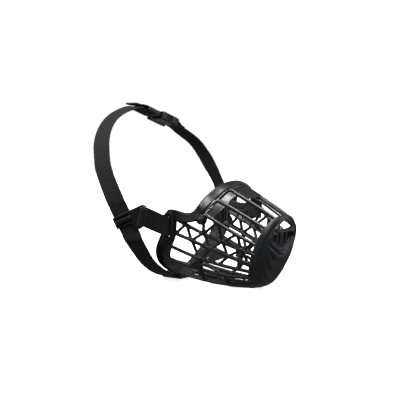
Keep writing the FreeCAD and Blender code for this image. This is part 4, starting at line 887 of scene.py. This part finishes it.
far = [tuple(slide_at(0.2)) + (22.0,), tuple(slide_at(8.0)) + (22.0,), tuple(slide_at(16.0)) + (22.0,),
       tuple(slide_at(24.0)) + (19.0,), (-31.5, -90.2, 107.5, 12.0), (-41.5, -88.0, 123.5, 7.0), (-50.0, -81.5, 138.0, 3.0)]
far = [(x, -y, z, r) for x, y, z, r in far]
far += [tuple(bk(37.0, 3.4)) + (0.0,), tuple(bk(30.0, 2.1)) + (0.0,), tuple(bk(24.0, 2.05)) + (0.0,)]
fpts, facr = along(far, 8, back=True)
hem = [bk(20.7, 2.1), bk(19.6, 1.6), bk(19.2, 0.5), bk(19.2, -0.5), bk(19.6, -1.6), bk(20.7, -2.1), bk(24.6, -2.05),
       bk(27.5, -0.9), bk(30.5, 0.35), bk(35.0, 1.25)]
hem_s = spline([fpts[-1]] + hem, 4)[1:]
fpts = np.concatenate([fpts, hem_s])
facr = np.concatenate([facr, np.tile(bk_w, (len(hem_s), 1))])
neck_l = webbing("neck_webbing_left", fpts, facr, 20.0, 1.5, smooth=5)


def sp(u, n, b=8.25):
    return SL_C + u_dir * u + sl_n * n + b_dir * b


zc = SLOT_Z
up_z = vec(0, 0, 1)
o0, o1 = vec(17.4, -52.6, zc + 0.4), sp(21.4, 1.0)
i0, i1 = sp(18.6, 4.2), vec(8.0, -53.6, zc + 3.6)


def lerp(a, b, u):
    return a + (b - a) * u


tab_in = [vec(13.2, -44.8, zc + 1.0), vec(15.6, -44.8, zc + 0.6), vec(17.2, -45.6, zc + 0.3), vec(17.9, -47.2, zc), vec(18.0, -50.0, zc)]
outer_run = [lerp(o0, o1, u) for u in np.linspace(0, 1, 9)]
outer_b = [unit(lerp(up_z, b_dir, u)) for u in np.linspace(0, 1, 9)]
wrap = [sp(21.2, -1.8), sp(20.3, -3.8), sp(18.6, -4.5), sp(16.3, -4.5), sp(14.9, -3.4), sp(14.6, -1.5), sp(14.6, 1.6), sp(15.0, 3.3),
        sp(16.4, 4.2)]
inner_run = [lerp(i0, i1, u) for u in np.linspace(0, 1, 9)]
inner_b = [unit(lerp(b_dir, up_z, u)) for u in np.linspace(0, 1, 9)]
tab_out = [vec(5.3, -50.2, zc + 2.6), vec(4.8, -47.4, zc + 2.0), vec(6.0, -45.1, zc + 1.6), vec(9.0, -44.6, zc + 1.3), vec(12.4, -44.8, zc + 1.05)]
part_a_p = inner_run[4:] + tab_out
part_a_b = inner_b[4:] + [up_z] * len(tab_out)
part_b_p = tab_in + outer_run[:5]
part_b_b = [up_z] * len(tab_in) + outer_b[:5]
part_c_p = outer_run[4:] + wrap + inner_run[:5]
part_c_b = outer_b[4:] + [b_dir] * len(wrap) + inner_b[:5]
cheeks = {}
for s, nm in ((-1, "right"), (1, "left")):
    m = vec(1, -s, 1)
    for key, P_, B_ in (("tab_inner", part_a_p, part_a_b), ("tab_outer", part_b_p, part_b_b), ("slide", part_c_p, part_c_b)):
        pp, bb = spline(P_, 5), spline(B_, 5)
        cheeks[nm, key] = webbing("cheek_webbing_%s_%s" % (key, nm), pp * m, bb * m, 20.0, 1.25, pitch=1.85, amp=0.13, selv=1.3, smooth=4, step=0.26)

# ------------------------------------------------------------------ stitching
def thread_row(name, start, end, normal, count, length, radius=0.26):
    """Row of short raised stitches from start to end, lying on a surface with that normal."""
    verts, faces = [], []
    d = unit(end - start)
    side = unit(np.cross(normal, d))
    for i in range(count):
        c = lerp(start, end, (i + 0.5) / count)
        n0 = len(verts)
        for a in range(7):
            u = a / 6 * 2 - 1
            bulge = math.sqrt(max(0.0, 1 - u * u * 0.96))
            for b in range(6):
                ang = 2 * math.pi * b / 6
                verts.append(c + d * (u * length / 2) + (side * math.cos(ang) + normal * math.sin(ang)) * radius * bulge
                             - normal * radius * 0.9 * abs(u) ** 3)
        for a in range(6):
            for b in range(6):
                q = n0 + a * 6
                faces.append([q + b, q + (b + 1) % 6, q + 6 + (b + 1) % 6, q + 6 + b])
    return verts, faces


def bartack(name, centre, across, tangent, normal, half, rows=2, gap=2.6, count=11, length=1.5):
    V, F = [], []
    for r in range(rows):
        c = centre + tangent * ((r - (rows - 1) / 2) * gap)
        v, f = thread_row(name, c - across * half, c + across * half, normal, count, length)
        o = len(V)
        V += v
        F += [[i + o for i in g] for g in f]
    return new_mesh(name, V, F)


stitches = []
run_t = unit(o1 - o0)
for s, nm in ((-1, "right"), (1, "left")):
    m = vec(1, -s, 1)
    c = lerp(o0, o1, 0.42)
    bdir = unit(lerp(up_z, b_dir, 0.42))
    bdir = unit(bdir - run_t * (bdir @ run_t))
    nrm = unit(np.cross(run_t, bdir))
    if nrm[1] > 0:
        nrm = -nrm
    stitches.append((nm, bartack("cheek_stitches_" + nm, (c + nrm * 0.78) * m, bdir * m, run_t * m, nrm * m, 8.0, rows=2)))
c = bk(29.2, 1.2)
hem_st = bartack("hem_stitches", bk(29.5, 2.95), bk_w, bk_t, bk_n, 8.2, rows=2, gap=3.0)
hem_st2 = bartack("hem_stitches_outer", bk(29.5, -0.92 - 0.0), bk_w, unit(bk(30.5, 0.35) - bk(27.5, -0.9)), -bk_n, 8.2, rows=2, gap=3.0)

# ------------------------------------------------------------------ finishes
def mat(name):
    m = bpy.data.materials.new(name)
    m.use_nodes = True
    nt = m.node_tree
    b = nt.nodes["Principled BSDF"]
    return m, nt, b


def link(nt, a, i, b, j):
    nt.links.new(a.outputs[i], b.inputs[j])


def node_noise(nt, scale, detail=3.0, rough=0.55, coord="Object"):
    tc = nt.nodes.new("ShaderNodeTexCoord")
    n = nt.nodes.new("ShaderNodeTexNoise")
    n.inputs["Scale"].default_value = scale
    n.inputs["Detail"].default_value = detail
    n.inputs["Roughness"].default_value = rough
    link(nt, tc, coord, n, "Vector")
    return n


def ramp(nt, lo_v, hi_v, a, b):
    r = nt.nodes.new("ShaderNodeMapRange")
    r.inputs["From Min"].default_value = lo_v
    r.inputs["From Max"].default_value = hi_v
    r.inputs["To Min"].default_value = a
    r.inputs["To Max"].default_value = b
    return r


def plastic(name, dark, light, rough_lo, rough_hi, grain=1500.0, grain_amt=0.06, swell=55.0, swell_amt=0.12, spec=0.18, wear=0.05):
    m, nt, b = mat(name)
    # mottled colour with lighter, rubbed edges
    n1 = node_noise(nt, 38.0, 5.0, 0.6)
    mixc = nt.nodes.new("ShaderNodeMix")
    mixc.data_type = "RGBA"
    mixc.inputs[6].default_value = (*dark, 1)
    mixc.inputs[7].default_value = (*light, 1)
    r1 = ramp(nt, 0.35, 0.68, 0.0, 1.0)
    link(nt, n1, 0, r1, 0)
    link(nt, r1, 0, mixc, 0)
    geo = nt.nodes.new("ShaderNodeNewGeometry")
    rp = ramp(nt, 0.53, 0.62, 0.0, 1.0)
    link(nt, geo, "Pointiness", rp, 0)
    n2 = node_noise(nt, 420.0, 3.0, 0.7)
    r2 = ramp(nt, 0.42, 0.66, 0.0, 1.0)
    link(nt, n2, 0, r2, 0)
    mul = nt.nodes.new("ShaderNodeMath")
    mul.operation = "MULTIPLY"
    link(nt, rp, 0, mul, 0)
    link(nt, r2, 0, mul, 1)
    mul2 = nt.nodes.new("ShaderNodeMath")
    mul2.operation = "MULTIPLY"
    link(nt, mul, 0, mul2, 0)
    mul2.inputs[1].default_value = 0.6
    mixw = nt.nodes.new("ShaderNodeMix")
    mixw.data_type = "RGBA"
    link(nt, mul2, 0, mixw, 0)
    link(nt, mixc, 2, mixw, 6)
    mixw.inputs[7].default_value = (wear, wear, wear * 1.04, 1)
    link(nt, mixw, 2, b, "Base Color")
    # roughness varies with handling
    n3 = node_noise(nt, 120.0, 4.0, 0.6)
    r3 = ramp(nt, 0.3, 0.7, rough_lo, rough_hi)
    link(nt, n3, 0, r3, 0)
    link(nt, r3, 0, b, "Roughness")
    b.inputs["Specular IOR Level"].default_value = spec
    # fine moulded grain over a faint swell
    n4 = node_noise(nt, grain, 2.0, 0.5)
    bp = nt.nodes.new("ShaderNodeBump")
    bp.inputs["Strength"].default_value = grain_amt
    bp.inputs["Distance"].default_value = 0.0004
    link(nt, n4, 0, bp, "Height")
    n5 = node_noise(nt, swell, 1.5, 0.4)
    bp2 = nt.nodes.new("ShaderNodeBump")
    bp2.inputs["Strength"].default_value = swell_amt
    bp2.inputs["Distance"].default_value = 0.002
    link(nt, n5, 0, bp2, "Height")
    link(nt, bp, 0, bp2, "Normal")
    link(nt, bp2, 0, b, "Normal")
    return m


def woven(name, dark, light, pitch, rough=0.72):
    m, nt, b = mat(name)
    uv = nt.nodes.new("ShaderNodeUVMap")
    uv.uv_map = "webbing"
    sep = nt.nodes.new("ShaderNodeSeparateXYZ")
    link(nt, uv, 0, sep, 0)

    def wave(src, out, period, shift=0.0):
        a = nt.nodes.new("ShaderNodeMath")
        a.operation = "MULTIPLY_ADD"
        a.inputs[1].default_value = 2 * math.pi / period
        a.inputs[2].default_value = shift
        link(nt, src, out, a, 0)
        c = nt.nodes.new("ShaderNodeMath")
        c.operation = "SINE"
        link(nt, a, 0, c, 0)
        return c, a

    w1, _ = wave(sep, 1, 1.05)
    s1, _ = wave(sep, 0, pitch / 2)
    prod = nt.nodes.new("ShaderNodeMath")
    prod.operation = "MULTIPLY"
    link(nt, w1, 0, prod, 0)
    link(nt, s1, 0, prod, 1)
    # twisted yarns: a diagonal wave inside each one
    dg = nt.nodes.new("ShaderNodeMath")
    dg.operation = "ADD"
    link(nt, sep, 0, dg, 0)
    link(nt, sep, 1, dg, 1)
    w2, _ = wave(dg, 0, 0.42)
    sc = nt.nodes.new("ShaderNodeMath")
    sc.operation = "MULTIPLY_ADD"
    sc.inputs[1].default_value = 0.35
    link(nt, w2, 0, sc, 0)
    link(nt, prod, 0, sc, 2)
    fuzz = node_noise(nt, 1800.0, 3.0, 0.7)
    sc2 = nt.nodes.new("ShaderNodeMath")
    sc2.operation = "MULTIPLY_ADD"
    sc2.inputs[1].default_value = 1.1
    link(nt, fuzz, 0, sc2, 0)
    link(nt, sc, 0, sc2, 2)
    bp = nt.nodes.new("ShaderNodeBump")
    bp.inputs["Strength"].default_value = 0.55
    bp.inputs["Distance"].default_value = 0.00022
    link(nt, sc2, 0, bp, "Height")
    link(nt, bp, 0, b, "Normal")
    # colour: painted shade darkens the valleys between yarns so their crowns read lighter, and a noise varies the tone
    # in patches
    r = ramp(nt, -1.0, 1.6, 0.0, 1.0)
    link(nt, sc, 0, r, 0)
    patch = node_noise(nt, 45.0, 4.0, 0.6)
    yarn_painted_light_and_tone = nt.nodes.new("ShaderNodeMath")
    yarn_painted_light_and_tone.operation = "MULTIPLY"
    link(nt, r, 0, yarn_painted_light_and_tone, 0)
    rr_ = ramp(nt, 0.3, 0.7, 0.55, 1.0)
    link(nt, patch, 0, rr_, 0)
    link(nt, rr_, 0, yarn_painted_light_and_tone, 1)
    # each cross rib: painted highlight on its pale crown, painted shade in the dark gap
    w3, _ = wave(sep, 0, pitch, math.pi / 2)
    rib_painted_light = ramp(nt, -0.75, 0.9, 0.10, 1.0)
    link(nt, w3, 0, rib_painted_light, 0)
    weave_painted_light_and_tone = nt.nodes.new("ShaderNodeMath")
    weave_painted_light_and_tone.operation = "MULTIPLY"
    link(nt, yarn_painted_light_and_tone, 0, weave_painted_light_and_tone, 0)
    link(nt, rib_painted_light, 0, weave_painted_light_and_tone, 1)
    mixc = nt.nodes.new("ShaderNodeMix")
    mixc.data_type = "RGBA"
    mixc.inputs[6].default_value = (*dark, 1)
    mixc.inputs[7].default_value = (*light, 1)
    link(nt, weave_painted_light_and_tone, 0, mixc, 0)
    link(nt, mixc, 2, b, "Base Color")
    r3 = ramp(nt, 0.3, 0.7, rough - 0.08, rough + 0.1)
    link(nt, patch, 0, r3, 0)
    link(nt, r3, 0, b, "Roughness")
    b.inputs["Specular IOR Level"].default_value = 0.16
    b.inputs["Sheen Weight"].default_value = 0.05
    b.inputs["Sheen Roughness"].default_value = 0.45
    return m


M_basket = plastic("basket_plastic", (0.0024, 0.0025, 0.0029), (0.0048, 0.0049, 0.0055), 0.25, 0.34, spec=0.42, wear=0.022)
M_nose = plastic("nose_plastic", (0.0058, 0.0064, 0.0078), (0.0090, 0.0098, 0.0116), 0.38, 0.48, spec=0.36, wear=0.018)
M_brow = plastic("brow_plastic", (0.0036, 0.0037, 0.0042), (0.0064, 0.0065, 0.0073), 0.26, 0.34, spec=0.34, swell_amt=0.08, wear=0.024)
M_stud = plastic("stud_plastic", (0.0028, 0.0029, 0.0034), (0.0050, 0.0051, 0.0058), 0.26, 0.34, spec=0.45, wear=0.022)
M_buckle = plastic("buckle_plastic", (0.0022, 0.0023, 0.0027), (0.0044, 0.0045, 0.0051), 0.25, 0.36, spec=0.30, wear=0.022)
M_web = woven("webbing", (0.0006, 0.0006, 0.0008), (0.0260, 0.0260, 0.0275), 2.85)
M_webc = woven("cheek_webbing", (0.0006, 0.0006, 0.0008), (0.0190, 0.0190, 0.0203), 1.85)
M_thread = plastic("thread", (0.0065, 0.0065, 0.0070), (0.0160, 0.0160, 0.0170), 0.6, 0.75, grain=4000.0, grain_amt=0.3, wear=0.02)


def finish_piece(ob, material, body=None):
    ob.data.materials.append(material)
    if body:
        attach(ob, body)


finish_piece(basket, M_basket, "basket")
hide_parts("lower_rim_band", "chin_keeper", "arch_rib", "side_lattice_right", "side_lattice_left", "chin_grille", "bridge_bars")
finish_piece(cap_ob, M_nose, "basket")
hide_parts("nose_cap")
finish_piece(brow, M_brow, "basket")
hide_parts("brow_band")
for ob, nd in zip(studs, ("snap_stud_right", "snap_stud_left")):
    finish_piece(ob, M_stud, "basket")
    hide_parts(nd)
finish_piece(slide_r, M_buckle, "slide_right")
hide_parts("strap_slide_right")
finish_piece(slide_l, M_buckle, "slide_left")
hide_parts("strap_slide_left")
finish_piece(female, M_buckle, "harness")
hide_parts("buckle_female")
finish_piece(male, M_buckle, "male")
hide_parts("buckle_male")
finish_piece(prongs[0], M_buckle, "prong_f")
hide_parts("prong_front")
finish_piece(prongs[1], M_buckle, "prong_r")
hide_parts("prong_rear")

finish_piece(chin, M_web)
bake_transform(chin)
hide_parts("chin_strap")
finish_piece(neck_r, M_web)
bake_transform(neck_r)
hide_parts("neck_strap_right")
finish_piece(neck_l, M_web, "harness")
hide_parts("neck_strap_left")
for s, nm in ((-1, "right"), (1, "left")):
    m = vec(1, -s, 1)
    for key in ("tab_inner", "tab_outer", "slide"):
        ob = cheeks[nm, key]
        finish_piece(ob, M_webc)
        if key == "slide":
            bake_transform(ob)
        else:
            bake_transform(ob)
        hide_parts("cheek_strap_" + nm)
for nm, ob in stitches:
    finish_piece(ob, M_thread)
    m = vec(1, 1 if nm == "right" else -1, 1)
    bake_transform(ob)
for ob in (hem_st, hem_st2):
    finish_piece(ob, M_thread, "harness")

# ------------------------------------------------------------------ floor, light and camera
FLOOR_GLOW = 0.82
floor_z = (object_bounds()[0][2]) - 0.0002
fm = bpy.data.meshes.new("floor")
rim_n = 96
fm.from_pydata([(0.95 * math.cos(2 * math.pi * i / rim_n), 0.95 * math.sin(2 * math.pi * i / rim_n), floor_z) for i in range(rim_n)], [], [tuple(range(rim_n))])
floor = bpy.data.objects.new("floor", fm)
bpy.context.scene.collection.objects.link(floor)
mf_, nt_, b_ = mat("pale_floor")
b_.inputs["Base Color"].default_value = (0.93, 0.93, 0.93, 1)
b_.inputs["Roughness"].default_value = 0.9
b_.inputs["Specular IOR Level"].default_value = 0.0
nz = node_noise(nt_, 6.0, 3.0, 0.5)
rz = ramp(nt_, 0.3, 0.7, 0.86, 0.94)
link(nt_, nz, 0, rz, 0)
link(nt_, rz, 0, b_, "Roughness")
# painted light: the floor glows by its own emission, weaker near the object and brighter away from it
tc = nt_.nodes.new("ShaderNodeTexCoord")
ln = nt_.nodes.new("ShaderNodeVectorMath")
ln.operation = "LENGTH"
link(nt_, tc, "Object", ln, 0)
glow = ramp(nt_, 0.12, 0.50, FLOOR_GLOW, 1.05)
link(nt_, ln, "Value", glow, 0)
b_.inputs["Emission Color"].default_value = (1, 1, 1, 1)
link(nt_, glow, 0, b_, "Emission Strength")
fm.materials.append(mf_)
# white sweep: seen, shadowed, but not mirrored in the black plastic
floor.visible_glossy = False
floor.visible_diffuse = False

world = bpy.data.worlds.new("studio")
bpy.context.scene.world = world
world.use_nodes = True
wn = world.node_tree
bg = wn.nodes["Background"]
bg.inputs[0].default_value = (1.0, 1.0, 1.0, 1)
bg.inputs[1].default_value = 1.0
# the backdrop is white paper to the camera; what lights the object from it is a uniform, dimmer grey
dim = wn.nodes.new("ShaderNodeBackground")
dim.inputs[1].default_value = 0.27
lp = wn.nodes.new("ShaderNodeLightPath")
mixb = wn.nodes.new("ShaderNodeMixShader")
wn.links.new(lp.outputs["Is Camera Ray"], mixb.inputs[0])
wn.links.new(dim.outputs[0], mixb.inputs[1])
wn.links.new(bg.outputs[0], mixb.inputs[2])
wn.links.new(mixb.outputs[0], wn.nodes["World Output"].inputs[0])
bpy.context.scene.view_settings.view_transform = "Standard"

az, el = math.radians(38.0), math.radians(8.0)
right = np.array([math.cos(az), math.sin(az), 0])
upv = np.array([-math.sin(az) * math.sin(el), math.cos(az) * math.sin(el), math.cos(el)])
back = np.array([math.sin(az) * math.cos(el), -math.cos(az) * math.cos(el), math.sin(el)])
centre = right * 17.486 + upv * 83.06          # mm, point at the middle of the picture
K = 0.915


def area(name, where, aim, size_x, size_y, power, col=(1, 1, 1)):
    ld = bpy.data.lights.new(name, "AREA")
    ld.shape = "RECTANGLE"
    ld.size, ld.size_y = size_x, size_y
    ld.energy = power
    ld.color = col
    o = bpy.data.objects.new(name, ld)
    o.location = where
    d = Vector(aim) - Vector(where)
    o.rotation_euler = d.to_track_quat("-Z", "Y").to_euler()
    bpy.context.scene.collection.objects.link(o)
    return o


mid = np.array(wpos(vec(30, 0, 70)))


def rel(r, u, b):
    """Point set off from the middle of the object: to the right of, above and towards the camera (m)."""
    return tuple(float(v) for v in (mid + right * r + np.array([0, 0, 1.0]) * u + back * b))


area("key_left", rel(-1.0, 0.85, 0.35), tuple(mid), 0.5, 0.5, 7.0)
area("low_left", rel(-1.1, 0.1, 0.3), tuple(mid), 0.4, 0.5, 1.6)
area("front_fill", rel(0.2, 0.95, 1.0), tuple(mid), 0.6, 0.5, 24.0)
area("top", rel(0.0, 1.3, 0.1), tuple(mid), 0.5, 0.45, 26.0)
area("right_rim", rel(1.0, 0.35, -0.1), tuple(mid), 0.2, 0.8, 3.0)

cam_d = bpy.data.cameras.new("camera")
cam = bpy.data.objects.new("camera", cam_d)
bpy.context.scene.collection.objects.link(cam)
bpy.context.scene.camera = cam
D = 2.4
shift_in = float(back @ vec(25, 0, 70))         # depth of the object's middle along the view
target = np.array(wpos(centre + back * shift_in))
cam.location = tuple(target + back * D)
R = Matrix(((right[0], upv[0], back[0]), (right[1], upv[1], back[1]), (right[2], upv[2], back[2])))
cam.rotation_euler = R.to_euler()
cam_d.sensor_width = 36.0
cam_d.lens = 36.0 * D / (400.0 / K / 1000.0)
cam_d.clip_end = 50.0
